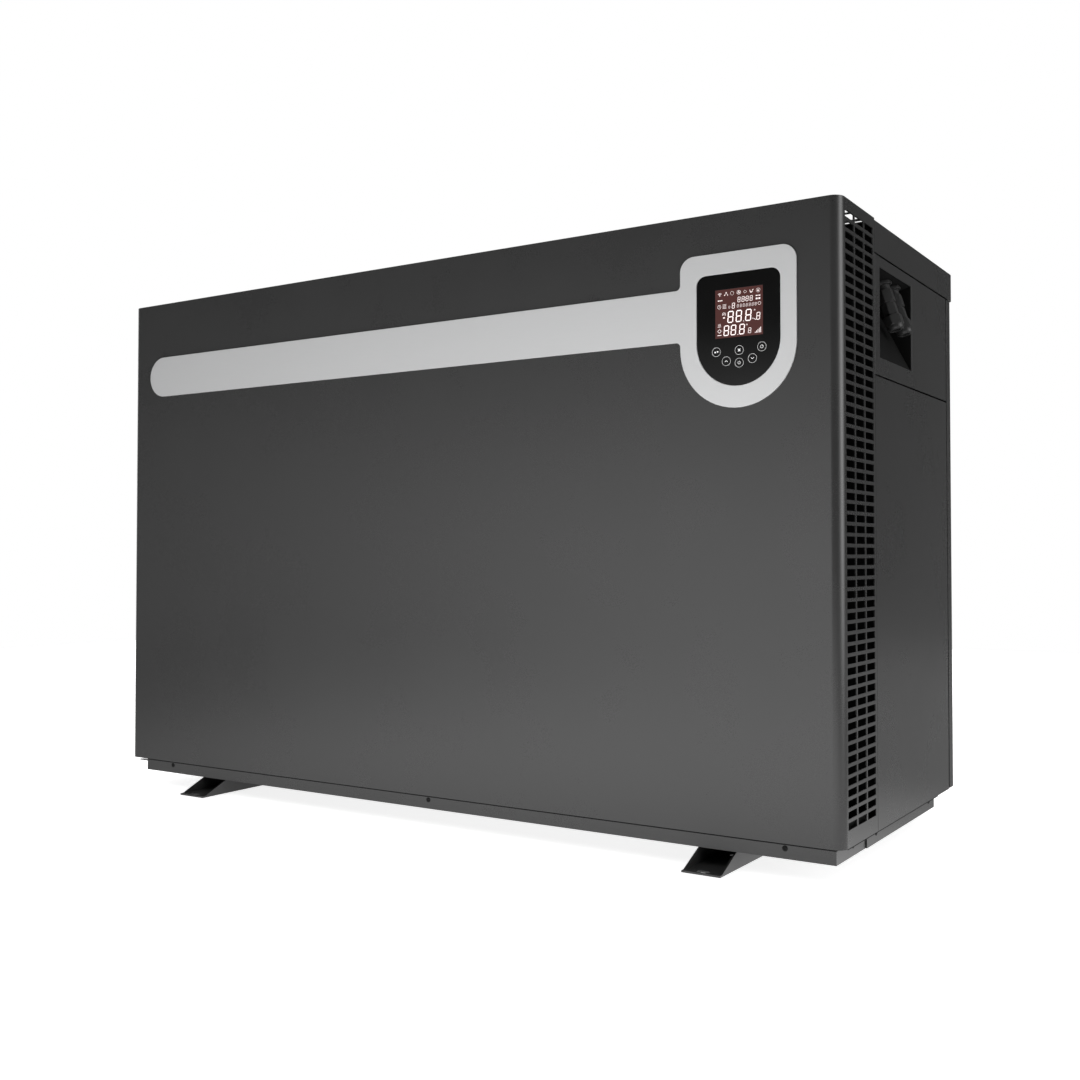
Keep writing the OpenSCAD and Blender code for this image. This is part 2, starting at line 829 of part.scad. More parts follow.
// The four screws that hold the motor to its bracket.
module motor_screw_places() {
    circle_r = 54;
    for (a = [45 : 90 : 315])
        translate([fan_x + circle_r * cos(a), 0, fan_z + circle_r * sin(a)]) children();
}

module fan_motor() {
    color(STEEL) difference() {
        union() {
            along_y(fan_x, fan_z, motor_r, motor_y0, motor_y1 - 10);
            along_y(fan_x, fan_z, motor_r + 6, motor_y1 - 14, motor_y1);
            along_y(fan_x, fan_z, 20, motor_y0 - 6, motor_y0 + 1);
        }
        along_y(fan_x, fan_z, shaft_r + 0.05, motor_y0 - 7, motor_y0 + 26);
        along_y(fan_x, fan_z, 30, motor_y0 + 14, motor_y1 - 14);
        motor_screw_places() along_y(0, 0, 2.5, motor_y1 - 30, motor_y1 + 1);
    }
}

module motor_bracket() {
    rail_x = 74;
    rail_w = 30;
    rib = 14;
    t = 2;
    color(STEEL) difference() {
        union() {
            for (s = [-1, 1]) {
                x = fan_x + s * rail_x;
                edge_x = x + s * rail_w / 2;
                block([x - rail_w / 2, bracket_y, pan_top], [x + rail_w / 2, bracket_y + t, wall_z1]);
                block([edge_x - t / 2, bracket_y, pan_top], [edge_x + t / 2, bracket_y + rib, wall_z1]);
            }
            block([fan_x - rail_x, bracket_y, fan_z - 66], [fan_x + rail_x, bracket_y + t, fan_z + 66]);
        }
        motor_screw_places() along_y(0, 0, 2.6, bracket_y - 1, bracket_y + t + 1);
    }
}

module motor_screws() {
    color(STEEL) motor_screw_places() {
        along_y(0, 0, 2.45, motor_y1 - 18, bracket_y + 2);
        along_y(0, 0, 4.5, bracket_y + 2, bracket_y + 5);
    }
}

// ---------- coil ----------

module coil_plan(grow) {
    x0 = coil_x0 - grow;
    y1 = coil_y1 + grow;
    t = coil_t + 2 * grow;
    r = coil_bend;
    rect(x0 + r, y1 - t, coil_x1, y1);
    rect(x0, coil_end_y, x0 + t, y1 - r);
    difference() {
        translate([x0 + r, y1 - r]) circle(r = r, $fn = 96);
        translate([x0 + r, y1 - r]) circle(r = r - t, $fn = 96);
        rect(x0 + r, y1 - 2 * r - 1, x0 + 2 * r + 1, y1 + 1);
        rect(x0 - 1, y1 - 2 * r - 1, x0 + 2 * r + 1, y1 - r);
    }
}

module evaporator_fins() {
    play = 0.1;
    color([0.8, 0.81, 0.82])
        translate([0, 0, coil_z0 + play]) linear_extrude(coil_z1 - coil_z0 - 2 * play) coil_plan(0);
}

module evaporator_end_plates() {
    t = 1.5;
    side_y1 = coil_end_y - 0.1;
    tray_x0 = case_x0 + 3.2;
    tray_y0 = side_y1 - 10;
    color(STEEL) {
        block([coil_x1, coil_y0 - 2, coil_z0 - tiny], [coil_x1 + t, coil_y1 + 2, coil_z1]);
        block([coil_x0 - 1, side_y1 - t, coil_z0 - tiny], [coil_x0 + coil_t + 1, side_y1, coil_z1]);
        // The tray that carries the coil on the pan's ledges.
        translate([0, 0, ledge_z + pan_t]) linear_extrude(coil_z0 - ledge_z - pan_t) {
            rect(tray_x0, pan_y1 + 1, part_x + 2, rear_y - guard_t);
            rect(tray_x0, tray_y0, coil_x0 + coil_t + 1, pan_y1 + 2);
        }
    }
}

module evaporator_bends() {
    rows = 22;
    pitch = (coil_z1 - coil_z0) / rows;
    color(COPPER) for (k = [0 : 2 : rows - 2], y = [coil_y0 + 10, coil_y1 - 10])
        translate([coil_x1 + 1.5, y, coil_z0 + (k + 1) * pitch]) rotate([90, 0, 0])
            rotate_extrude(angle = 180, start = -90) translate([pitch / 2, 0]) circle(r = 3.8, $fn = 24);
}

module partition() {
    color(STEEL) difference() {
        block([part_x, bulk_y1 + 0.1, pan_top], [part_x + sheet, coil_y0 - 3, wall_z1]);
        block([part_x - 1, -52, 508], [part_x + 3, 62, 572]);
        block([part_x - 1, pan_y1 - pan_t - 1, pan_top - 1], [part_x + 3, coil_y0, coil_z0 + 0.5]);
    }
}

// ---------- refrigerant circuit ----------

module compressor_feet_places() {
    for (a = mount_angles)
        translate([comp_x + mount_r * cos(a), comp_y + mount_r * sin(a), 0]) children();
}

module compressor() {
    cap_h = 25;
    dome_r = (pow(comp_r, 2) + pow(cap_h, 2)) / (2 * cap_h);
    shoulder = comp_z1 - cap_h;
    color(BLACK) difference() {
        union() {
            translate([comp_x, comp_y, comp_z0 - 2]) cylinder(h = shoulder - comp_z0 + 2, r = comp_r);
            translate([comp_x, comp_y, shoulder]) rotate_extrude() intersection() {
                translate([0, cap_h - dome_r]) circle(r = dome_r);
                square([comp_r, cap_h + 1]);
            }
            translate([comp_x, comp_y, comp_z1 - 2]) cylinder(h = comp_port + 2, r = 8);
            // The base plate with its three mounting ears.
            translate([comp_x, comp_y, comp_z0 - 4]) linear_extrude(3)
                for (a = mount_angles)
                    rotate(a) {
                        rect(0, -14, mount_r, 14);
                        translate([mount_r, 0]) circle(r = 17);
                    }
        }
        compressor_feet_places() translate([0, 0, comp_z0 - 5]) cylinder(h = 5, r = 8);
        translate([comp_x, comp_y, comp_z0 + 4]) cylinder(h = comp_z1 - comp_z0 - 40, r = comp_r - 4);
    }
}

module compressor_grommets() {
    color([0.08, 0.08, 0.08]) compressor_feet_places() difference() {
        union() {
            translate([0, 0, pan_top]) cylinder(h = comp_z0 - 4 - pan_top, r = 13);
            translate([0, 0, comp_z0 - 5]) cylinder(h = 5, r = 7.9);
            translate([0, 0, comp_z0 - 1]) cylinder(h = 5, r = 11);
        }
        translate([0, 0, pan_top - 1]) cylinder(h = 50, r = 4.2);
    }
}

module compressor_nuts() {
    color(STEEL) compressor_feet_places() {
        translate([0, 0, pan_top]) cylinder(h = 50, r = 4);
        translate([0, 0, comp_z0 + 4]) cylinder(h = 1.5, r = 10);
        translate([0, 0, comp_z0 + 5.5]) cylinder(h = 6.5, r = 7.5, $fn = 6);
    }
}

module accumulator() {
    r = 30;
    gap = norm([acc_x - comp_x, acc_y - comp_y]) - comp_r - r;
    color(BLACK) translate([acc_x, acc_y, 0]) {
        translate([0, 0, 130]) cylinder(h = 160, r = r);
        translate([0, 0, 290]) cylinder(h = 12, r1 = r, r2 = 14);
        translate([0, 0, 118]) cylinder(h = 12, r1 = 14, r2 = r);
    }
    // The strap that ties it to the compressor.
    away = atan2(acc_y - comp_y, acc_x - comp_x);
    color(STEEL) translate([comp_x, comp_y, 200]) rotate([0, 0, away])
        translate([comp_r, -8, 0]) cube([gap, 16, 20]);
}

module four_way_valve() {
    color([0.72, 0.58, 0.28]) {
        translate([valve_x - 42, comp_y, valve_z]) rotate([0, 90, 0]) cylinder(h = 84, r = 12);
        translate([valve_x, comp_y, valve_z]) cylinder(h = 18, r = 7);
        for (dx = [-20, 0, 20])
            translate([valve_x + dx, comp_y, valve_z - 18]) cylinder(h = 18, r = 7);
        translate([valve_x - 16, comp_y - 34, valve_z - 12]) cube([32, 26, 24]);
    }
}

module discharge_line() {
    color(COPPER) copper_tube([
        [comp_x, comp_y, comp_z1 + comp_port],
        [comp_x, comp_y, 462],
        [valve_x, comp_y, 462],
        [valve_x, comp_y, valve_z + 18]
    ]);
}

module suction_line() {
    color(COPPER) copper_tube([
        [valve_x, comp_y, valve_z - 18],
        [valve_x, comp_y, 372],
        [valve_x, acc_y, 372],
        [acc_x, acc_y, 372],
        [acc_x, acc_y, 302]
    ]);
}

module coil_gas_line() {
    color(COPPER) {
        copper_tube([
            [valve_x - 20, comp_y, valve_z - 18],
            [valve_x - 20, comp_y, 390],
            [header_x, comp_y, 390],
            [header_x, header_y - header_r, 390]
        ]);
        difference() {
            translate([header_x, header_y, 210]) cylinder(h = 380, r = header_r);
            translate([header_x, header_y, 211]) cylinder(h = 378, r = header_r - 1.2);
        }
    }
}

module exchanger_gas_line() {
    color(COPPER) copper_tube([
        [valve_x + 20, comp_y, valve_z - 18],
        [valve_x + 20, comp_y, 385],
        [valve_x + 20, exch_y - exch_r + 3.5, 385]
    ]);
}

module liquid_line() {
    color(COPPER) {
        copper_tube([
            [valve_x + 20, exch_y - exch_r + 3.5, 92],
            [valve_x + 20, -62, 92],
            [225, -62, 92],
            [225, -62, 140]
        ]);
        copper_tube([
            [213, -62, 165],
            [header_x, -62, 165],
            [header_x, header_y - header_r, 165]
        ], 4, 9);
        difference() {
            translate([header_x, header_y, 52]) cylinder(h = 140, r = header_r);
            translate([header_x, header_y, 53]) cylinder(h = 138, r = header_r - 1.2);
        }
    }
}

module expansion_valve() {
    color([0.72, 0.58, 0.28]) {
        translate([225, -62, 140]) cylinder(h = 34, r = 11);
        translate([213, -62, 165]) rotate([0, 90, 0]) cylinder(h = 12, r = 6);
    }
    color([0.15, 0.2, 0.5]) translate([225, -62, 174]) cylinder(h = 32, r = 17);
}

// ---------- water circuit ----------

module exchanger_shell() {
    wall = 5;
    color(PVC) difference() {
        union() {
            translate([exch_x, exch_y, exch_z0]) cylinder(h = exch_z1 - exch_z0, r = exch_r);
            for (z = port_z)
                along_y(exch_x, z, port_r, port_face_y, port_y);
            translate([exch_x, paddle_y, port_low_z]) cylinder(h = 44, r = 14);
        }
        translate([exch_x, exch_y, exch_z0 + wall])
            cylinder(h = exch_z1 - exch_z0 - 2 * wall, r = exch_r - wall);
        for (z = port_z) {
            along_y(exch_x, z, port_bore, port_face_y - 6, port_y + 1);
            difference() {
                along_y(exch_x, z, 27.1, port_y - 1.6, port_y + 1);
                along_y(exch_x, z, 23.9, port_y - 3, port_y + 2);
            }
        }
        translate([exch_x, paddle_y, port_low_z]) cylinder(h = 46, r = 9);
        for (z = [92, 385])
            along_y(valve_x + 20, z, line_r + 0.05, exch_y - exch_r - 5, exch_y - exch_r + 16);
    }
}

// The titanium coil inside the shell: one helix, swept as a closed mesh.
coil_turns = 15;
ring_steps = 12;
coil_sides = 8;
helix_r = 50;
helix_tube = 6;
helix_z0 = 92;
helix_pitch = 19.5;

function helix_ring(k) =
    let (
        a = k * 360 / ring_steps - 80,
        z = helix_z0 + k * helix_pitch / ring_steps
    )
    [for (j = [0 : coil_sides - 1])
        let (b = j * 360 / coil_sides, rr = helix_r + helix_tube * cos(b))
        [exch_x + rr * cos(a), exch_y + rr * sin(a), z + helix_tube * sin(b)]];

module exchanger_coil() {
    rings = coil_turns * ring_steps;
    n = coil_sides;
    points = [for (k = [0 : rings]) each helix_ring(k)];
    sides = [for (k = [0 : rings - 1], j = [0 : n - 1]) each [
        [k * n + j, (k + 1) * n + j, k * n + (j + 1) % n],
        [k * n + (j + 1) % n, (k + 1) * n + j, (k + 1) * n + (j + 1) % n]
    ]];
    start = [[for (j = [0 : n - 1]) j]];
    end = [[for (j = [n - 1 : -1 : 0]) rings * n + j]];
    color([0.6, 0.6, 0.62]) polyhedron(points = points, faces = concat(sides, start, end));
}

module exchanger_feet() {
    color(STEEL) for (x = [exch_x - 45, exch_x + 45]) {
        block([x - 12, exch_y - 40, pan_top], [x + 12, exch_y + 40, pan_top + 2]);
        block([x - 1, exch_y - 40, pan_top], [x + 1, exch_y + 40, exch_z0]);
    }
}

module union_nut(z) {
    ribs = 12;
    difference() {
        union() {
            along_y(exch_x, z, nut_r, nut_y0, nut_y1);
            for (k = [0 : ribs - 1])
                translate([exch_x, 0, z]) rotate([0, k * 360 / ribs, 0])
                    block([nut_r - 3, nut_y0 + 3, -3], [nut_r + 2.5, nut_y1 - 3, 3]);
        }
        along_y(exch_x, z, port_r + clear, nut_y0 - 1, nut_lip_y);
        along_y(exch_x, z, tail_r + clear, nut_y0 - 1, nut_y1 + 1);
    }
}

module union_nut_inlet() {
    color(BLACK) union_nut(port_low_z);
}

module union_nut_outlet() {
    color(BLACK) union_nut(port_high_z);
}

module union_tails() {
    color(PVC) for (z = port_z) difference() {
        union() {
            along_y(exch_x, z, 29.7, tail_y0, 227.6);
            along_y(exch_x, z, tail_r, tail_y0, tail_y1);
        }
        along_y(exch_x, z, port_bore, tail_y0 - 1, tail_y1);
        along_y(exch_x, z, socket_r, tail_y1 - socket_l, tail_y1 + 1);
    }
}

module union_seals() {
    color([0.05, 0.05, 0.05]) for (z = port_z) difference() {
        along_y(exch_x, z, 27, port_y - 1.6, tail_y0);
        along_y(exch_x, z, 24, port_y - 3, port_y + 3);
    }
}

module flow_switch() {
    fork = 4;
    leg_z0 = paddle_pivot_z - 3;
    color(PVC) translate([exch_x, paddle_y, 0]) {
        translate([0, 0, port_low_z + 24]) cylinder(h = 24, r = 8.9);
        translate([0, 0, port_low_z + 44.1]) cylinder(h = 6, r = 14);
        translate([-17, -13, port_low_z + 50]) cube([34, 26, 30]);
        for (s = [-1, 1])
            translate([s * (fork + 1) - 1, -3, leg_z0]) cube([2, 6, port_low_z + 25 - leg_z0]);
    }
    color(STEEL) translate([exch_x - fork - 2, paddle_y, paddle_pivot_z]) rotate([0, 90, 0])
        cylinder(h = 2 * fork + 4, r = 1.2);
}

module flow_paddle() {
    blade_z = port_low_z - 17;
    color(STEEL) difference() {
        union() {
            translate([exch_x - 3, paddle_y, paddle_pivot_z]) rotate([0, 90, 0]) cylinder(h = 6, r = 2.8);
            block([exch_x - 3, paddle_y - 0.6, blade_z], [exch_x + 3, paddle_y + 0.6, paddle_pivot_z - 1]);
            block([exch_x - 9, paddle_y - 0.6, blade_z], [exch_x + 9, paddle_y + 0.6, blade_z + 18]);
        }
        translate([exch_x - 5, paddle_y, paddle_pivot_z]) rotate([0, 90, 0]) cylinder(h = 10, r = 1.25);
    }
}

// ---------- electrical ----------

// An open tray, with a window for the heat sink in its left wall.
module electrical_box() {
    low = [part_x + 8, -88, ebox_floor - sheet];
    high = [440, 128, 604];
    wall = [sheet, sheet, sheet];
    color(STEEL) difference() {
        block(low, high);
        block(low + wall, [high.x - sheet, high.y - sheet, high.z + 5]);
        block([low.x - 3, -50, 510], [low.x + 4, 60, 570]);
    }
}

module main_board() {
    low = [190, -76];
    high = [380, 116];
    t = 1.8;
    top = ebox_floor + 6.8 + t;
    inset = 6;
    color(BOARD) block([low.x, low.y, top - t], [high.x, high.y, top]);
    color(STEEL) for (x = [low.x + inset, high.x - inset], y = [low.y + inset, high.y - inset])
        translate([x, y, ebox_floor]) cylinder(h = top - t - ebox_floor, r = 3);
    // Three capacitors, a transformer and a power module.
    color(BLACK) {
        for (y = [-50, -16, 18])
            translate([345, y, top]) cylinder(h = 40, r = 14);
        translate([240, 40, top]) cube([60, 60, 30]);
        translate([235, -60, top]) cube([65, 50, 20]);
    }
}

module heat_sink() {
    fin_count = 11;
    color([0.75, 0.76, 0.77]) {
        block([part_x + 2, -49, 511], [part_x + 7.5, 59, 569]);
        for (k = [0 : fin_count - 1])
            block([part_x - 32, -47 + k * 10, 512], [part_x + 2.1, -44.5 + k * 10, 568]);
    }
}

module terminal_block() {
    poles = 6;
    pitch = 20;
    step_z = ebox_floor + 12;
    color([0.85, 0.85, 0.8]) difference() {
        block([396, -66, ebox_floor], [428, -66 + poles * pitch, ebox_floor + 23]);
        for (k = [0 : poles - 1])
            translate([405, -56 + k * pitch, step_z]) cube([40, 14, 20]);
    }
    color(STEEL) for (k = [0 : poles - 1])
        translate([416, -49 + k * pitch, step_z]) cylinder(h = 5, r = 4);
}

module drain_spout() {
    bore = 7.5;
    color(BLACK) translate([drain_x, drain_y, 0]) difference() {
        union() {
            translate([0, 0, foot_h - 16]) cylinder(h = 16 + pan_t + 2, r = 8.9);
            translate([0, 0, pan_top]) cylinder(h = 2, r = 13);
            translate([0, 0, foot_h - 2]) cylinder(h = 2, r = 12);
        }
        translate([0, 0, 1]) cylinder(h = 30, r = bore);
    }
}

// ---------- nodes ----------

front_cover();
trim_band();
display_glass();
lcd_screen();
display_board();
display_housing();
top_lid();
right_upper_panel();
right_lower_panel();
rear_service_panel();
rear_guard();
left_guard();
base_pan();
foot_left();
foot_right();
foot_bolts();
casing_screws();
gland_pocket();
gland_bodies();
gland_lock_nuts();
gland_nut_front();
gland_nut_rear();
gland_seals();
fan_bulkhead();
fan_orifice();
fan_rotor();
fan_nut();
motor_shaft();
fan_motor();
motor_bracket();
motor_screws();
evaporator_fins();
evaporator_bends();
evaporator_end_plates();
partition();
compressor();
compressor_grommets();
compressor_nuts();
accumulator();
four_way_valve();
expansion_valve();
discharge_line();
suction_line();
coil_gas_line();
exchanger_gas_line();
liquid_line();
exchanger_shell();
exchanger_coil();
exchanger_feet();
union_nut_inlet();
union_nut_outlet();
union_tails();
union_seals();
flow_switch();
flow_paddle();
electrical_box();
main_board();
heat_sink();
terminal_block();
drain_spout();
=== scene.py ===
import json
import math

import bmesh
import bpy
from mathutils import Matrix, Vector

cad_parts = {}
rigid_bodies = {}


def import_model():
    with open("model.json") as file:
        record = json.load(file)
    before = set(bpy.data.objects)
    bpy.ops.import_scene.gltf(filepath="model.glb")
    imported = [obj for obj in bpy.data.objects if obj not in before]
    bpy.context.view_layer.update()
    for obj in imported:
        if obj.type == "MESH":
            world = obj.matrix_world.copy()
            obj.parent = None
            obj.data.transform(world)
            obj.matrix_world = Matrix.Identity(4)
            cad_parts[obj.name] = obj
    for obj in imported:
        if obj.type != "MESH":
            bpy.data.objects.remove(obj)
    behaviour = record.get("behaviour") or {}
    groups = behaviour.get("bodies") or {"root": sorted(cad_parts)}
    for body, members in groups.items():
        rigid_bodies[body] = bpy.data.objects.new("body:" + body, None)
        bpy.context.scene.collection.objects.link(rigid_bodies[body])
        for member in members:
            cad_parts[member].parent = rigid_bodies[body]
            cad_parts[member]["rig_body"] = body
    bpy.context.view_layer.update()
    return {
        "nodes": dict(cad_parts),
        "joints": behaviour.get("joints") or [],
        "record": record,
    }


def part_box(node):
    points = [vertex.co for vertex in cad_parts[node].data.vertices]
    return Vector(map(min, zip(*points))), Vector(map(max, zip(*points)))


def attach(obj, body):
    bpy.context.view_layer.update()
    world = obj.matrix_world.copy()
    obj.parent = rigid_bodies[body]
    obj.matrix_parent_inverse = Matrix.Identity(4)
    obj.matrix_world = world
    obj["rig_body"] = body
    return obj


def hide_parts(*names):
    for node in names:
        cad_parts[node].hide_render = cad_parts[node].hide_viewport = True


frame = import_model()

MM = 0.001
RECORD = frame["record"]
SLOT_OF = {part["node"]: part["material_slot"] for part in RECORD["subparts"]}
JOINT = {joint["name"]: joint for joint in frame["joints"]}
BODY_OF = {node: obj["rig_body"] for node, obj in frame["nodes"].items()}
WELD = 0.002 * MM
# Faces closer than the flat angle are joined, and edges sharper than the hard angle are rounded.
FLAT_ANGLE = math.radians(0.6)
HARD_ANGLE = math.radians(32)


# ---------- materials ----------


def socket(node, name, value):
    node.inputs[name].default_value = value


def grey(value, tint=(1.0, 1.0, 1.0)):
    return (value * tint[0], value * tint[1], value * tint[2], 1.0)


def surface(name, colour, rough, spread=0.06, metal=0.0, shade=0.12, patch=9.0, grain=900.0,
            depth=0.02, stretch=(1.0, 1.0, 1.0), ior=1.5, coat=0.0, coat_rough=0.1, glow=0.0):
    """A material whose colour, roughness and fine relief all vary with place.

    patch and grain are noise scales per metre, depth is the relief in millimetres.
    """
    material = bpy.data.materials.new(name)
    material.use_nodes = True
    nodes, links = material.node_tree.nodes, material.node_tree.links
    shader = nodes["Principled BSDF"]
    place = nodes.new("ShaderNodeTexCoord")
    scale = nodes.new("ShaderNodeMapping")
    socket(scale, "Scale", stretch)
    links.new(place.outputs["Object"], scale.inputs["Vector"])
    patches = nodes.new("ShaderNodeTexNoise")
    socket(patches, "Scale", patch)
    socket(patches, "Detail", 4.0)
    grains = nodes.new("ShaderNodeTexNoise")
    socket(grains, "Scale", grain)
    socket(grains, "Detail", 2.0)
    for noise in (patches, grains):
        links.new(scale.outputs["Vector"], noise.inputs["Vector"])
    both = nodes.new("ShaderNodeMath")
    both.operation = "MULTIPLY_ADD"
    socket(both, 1, 0.35)
    links.new(grains.outputs["Fac"], both.inputs[0])
    links.new(patches.outputs["Fac"], both.inputs[2])
    tones = nodes.new("ShaderNodeMapRange")
    socket(tones, "From Min", 0.35)
    socket(tones, "From Max", 1.0)
    links.new(both.outputs["Value"], tones.inputs["Value"])
    blend = nodes.new("ShaderNodeMix")
    blend.data_type = "RGBA"
    blend.inputs["A"].default_value = tuple(c * (1 - shade) for c in colour[:3]) + (1.0,)
    blend.inputs["B"].default_value = tuple(c * (1 + shade) for c in colour[:3]) + (1.0,)
    links.new(tones.outputs["Result"], blend.inputs["Factor"])
    links.new(blend.outputs["Result"], shader.inputs["Base Color"])
    wear = nodes.new("ShaderNodeMapRange")
    socket(wear, "From Min", 0.35)
    socket(wear, "From Max", 1.0)
    socket(wear, "To Min", max(rough - spread, 0.02))
    socket(wear, "To Max", rough + spread)
    links.new(both.outputs["Value"], wear.inputs["Value"])
    links.new(wear.outputs["Result"], shader.inputs["Roughness"])
    bump = nodes.new("ShaderNodeBump")
    socket(bump, "Distance", depth * MM)
    socket(bump, "Strength", 1.0)
    links.new(grains.outputs["Fac"], bump.inputs["Height"])
    links.new(bump.outputs["Normal"], shader.inputs["Normal"])
    socket(shader, "Metallic", metal)
    socket(shader, "IOR", ior)
    socket(shader, "Coat Weight", coat)
    socket(shader, "Coat Roughness", coat_rough)
    if glow:
        socket(shader, "Emission Color", tuple(colour[:3]) + (1.0,))
        socket(shader, "Emission Strength", glow)
    return material


BRUSHED_X = (0.04, 1.0, 1.0)
BRUSHED_Z = (1.0, 1.0, 0.04)

MATERIAL = {
    "graphite_paint": surface("graphite_powder_coat", grey(0.027), 0.28, 0.03, shade=0.07, grain=1100,
                              depth=0.015, ior=1.45),
    "guard_coat": surface("guard_powder_coat", grey(0.04), 0.46, shade=0.08, grain=1100, depth=0.02),
    "foot_coat": surface("foot_powder_coat", grey(0.03), 0.45, shade=0.08, grain=1100, depth=0.02),
    # Painted shade: a near-black coat on the fan bulkhead and the gland pocket, darker than their real
    # finish, so the vents and the recess look shaded.
    "inner_coat": surface("inner_painted_shade_coat", grey(0.004), 0.8, 0.06, shade=0.15, grain=900, depth=0.02,
                          ior=1.2),
    "silver_trim": surface("satin_silver", grey(0.6, (1.0, 1.005, 1.01)), 0.36, 0.05, metal=0.4, shade=0.03,
                           patch=4, grain=1500, depth=0.004, stretch=BRUSHED_X),
    "black_glass": surface("black_printed_glass", grey(0.003), 0.09, 0.03, shade=0.2, patch=20, grain=300,
                           depth=0.0005, ior=1.36),
    "lcd": surface("lit_display", (0.056, 0.021, 0.019, 1.0), 0.14, 0.03, shade=0.08, patch=60, grain=2500,
                   depth=0.0005, ior=1.3, glow=0.5),
    "circuit_board": surface("solder_mask", (0.012, 0.09, 0.035, 1.0), 0.35, 0.1, shade=0.2, patch=80,
                             grain=1500, depth=0.01, coat=0.3),
    "dark_plastic": surface("moulded_dark_plastic", grey(0.025), 0.55, shade=0.1, grain=1800, depth=0.012),
    "gland_plastic": surface("gland_nylon", grey(0.02), 0.42, 0.06, shade=0.1, patch=60, grain=1600,
                             depth=0.006, ior=1.38),
    "fan_plastic": surface("fan_plastic", grey(0.018), 0.5, shade=0.12, patch=14, grain=1500, depth=0.012),
    "rubber": surface("black_rubber", grey(0.012), 0.78, 0.08, shade=0.2, patch=50, grain=2200, depth=0.02,
                      ior=1.45),
    "black_screw": surface("black_oxide", grey(0.004), 0.5, 0.08, shade=0.25, patch=300, grain=3000,
                           depth=0.006, ior=1.25),
    "zinc_steel": surface("zinc_plate", grey(0.42, (1.0, 1.0, 1.02)), 0.36, 0.12, metal=0.9, shade=0.14,
                          patch=45, grain=500, depth=0.006),
    "shaft_steel": surface("ground_steel", grey(0.5), 0.26, 0.08, metal=1.0, shade=0.1, patch=60,
                           grain=2500, depth=0.006),
    "motor_coat": surface("motor_coat", grey(0.07), 0.5, 0.1, shade=0.15, grain=800, depth=0.03),
    "compressor_paint": surface("compressor_enamel", grey(0.01), 0.3, 0.08, shade=0.2, patch=16, grain=500,
                                depth=0.03, coat=0.3),
    "copper": surface("drawn_copper", (0.62, 0.27, 0.15, 1.0), 0.3, 0.12, metal=1.0, shade=0.25, patch=30,
                      grain=700, depth=0.01),
    "brass": surface("machined_brass", (0.58, 0.40, 0.14, 1.0), 0.28, 0.1, metal=1.0, shade=0.2, patch=60,
                     grain=1500, depth=0.008),
    "titanium": surface("drawn_titanium", grey(0.3, (1.0, 0.97, 0.93)), 0.34, 0.1, metal=1.0, shade=0.15,
                        patch=40, grain=900, depth=0.008),
    "fin_aluminium": surface("fin_aluminium", grey(0.6, (1.0, 1.0, 1.02)), 0.34, 0.1, metal=0.95, shade=0.12,
                             patch=25, grain=900, depth=0.008, stretch=BRUSHED_Z),
    "pvc_shell": surface("grey_pressure_plastic", grey(0.075, (0.97, 1.0, 1.06)), 0.4, 0.08, shade=0.1,
                         grain=900, depth=0.01),
    "union_plastic": surface("union_black_plastic", grey(0.014), 0.42, 0.08, shade=0.12, patch=30,
                             grain=1500, depth=0.012),
    "union_tail_plastic": surface("union_grey_plastic", grey(0.06, (0.97, 1.0, 1.05)), 0.38, 0.07, shade=0.1,
                                  patch=30, grain=1400, depth=0.01),
    "terminal_plastic": surface("terminal_plastic", grey(0.55, (1.0, 0.97, 0.88)), 0.45, shade=0.06, patch=30,
                                grain=1400, depth=0.01),
}
PRINT_WHITE = surface("white_print", grey(0.7), 0.4, shade=0.04, patch=80, grain=2500, depth=0.001,
                      glow=0.4)
SEGMENT_WHITE = surface("lit_segments", (0.62, 0.55, 0.54, 1.0), 0.4, shade=0.03, patch=80, grain=2500,
                        depth=0.0005, glow=1.15)


# ---------- mesh helpers ----------


def add_piece(name, bm, body, material, replaces=(), sharp=32, weighted=True):
    """Turns a bmesh into a piece that rides on a body, with smooth faces and crisp edges."""
    bmesh.ops.recalc_face_normals(bm, faces=bm.faces)
    mesh = bpy.data.meshes.new(name)
    bm.to_mesh(mesh)
    bm.free()
    mesh.shade_smooth()
    mesh.set_sharp_from_angle(angle=math.radians(sharp))
    mesh.materials.append(material)
    piece = bpy.data.objects.new(name, mesh)
    bpy.context.scene.collection.objects.link(piece)
    if weighted:
        normals = piece.modifiers.new("crisp_normals", "WEIGHTED_NORMAL")
        normals.keep_sharp = True
        normals.weight = 80
    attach(piece, body)
    if replaces:
        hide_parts(*replaces)
    return piece


def cad_bmesh(node):
    """A welded copy of a CAD node's mesh."""
    bm = bmesh.new()
    bm.from_mesh(frame["nodes"][node].data)
    bmesh.ops.remove_doubles(bm, verts=bm.verts, dist=WELD)
    return bm


def finish_node(node, edge):
    """Replaces a CAD node by a copy of itself whose hard edges are rounded by edge millimetres."""
    bm = cad_bmesh(node)
    bmesh.ops.dissolve_limit(bm, angle_limit=FLAT_ANGLE, verts=bm.verts, edges=bm.edges)
    if edge:
        hard = [e for e in bm.edges if e.is_manifold and e.calc_face_angle(0.0) > HARD_ANGLE]
        bmesh.ops.bevel(bm, geom=hard, offset=edge * MM, offset_type="OFFSET", segments=2,
                        profile=0.5, affect="EDGES", clamp_overlap=True)
    slot = SLOT_OF[node]
    return add_piece(node + "_finished", bm, BODY_OF[node], MATERIAL[slot], [node])


def islands(node):
    """The separate solids of a CAD node, each as a list of its points."""
    bm = cad_bmesh(node)
    left = set(bm.verts)
    found = []
    while left:
        queue = [left.pop()]
        points = []
        while queue:
            vertex = queue.pop()
            points.append(vertex.co.copy())
            for edge in vertex.link_edges:
                other = edge.other_vert(vertex)
                if other in left:
                    left.remove(other)
                    queue.append(other)
        found.append(points)
    bm.free()
    return found


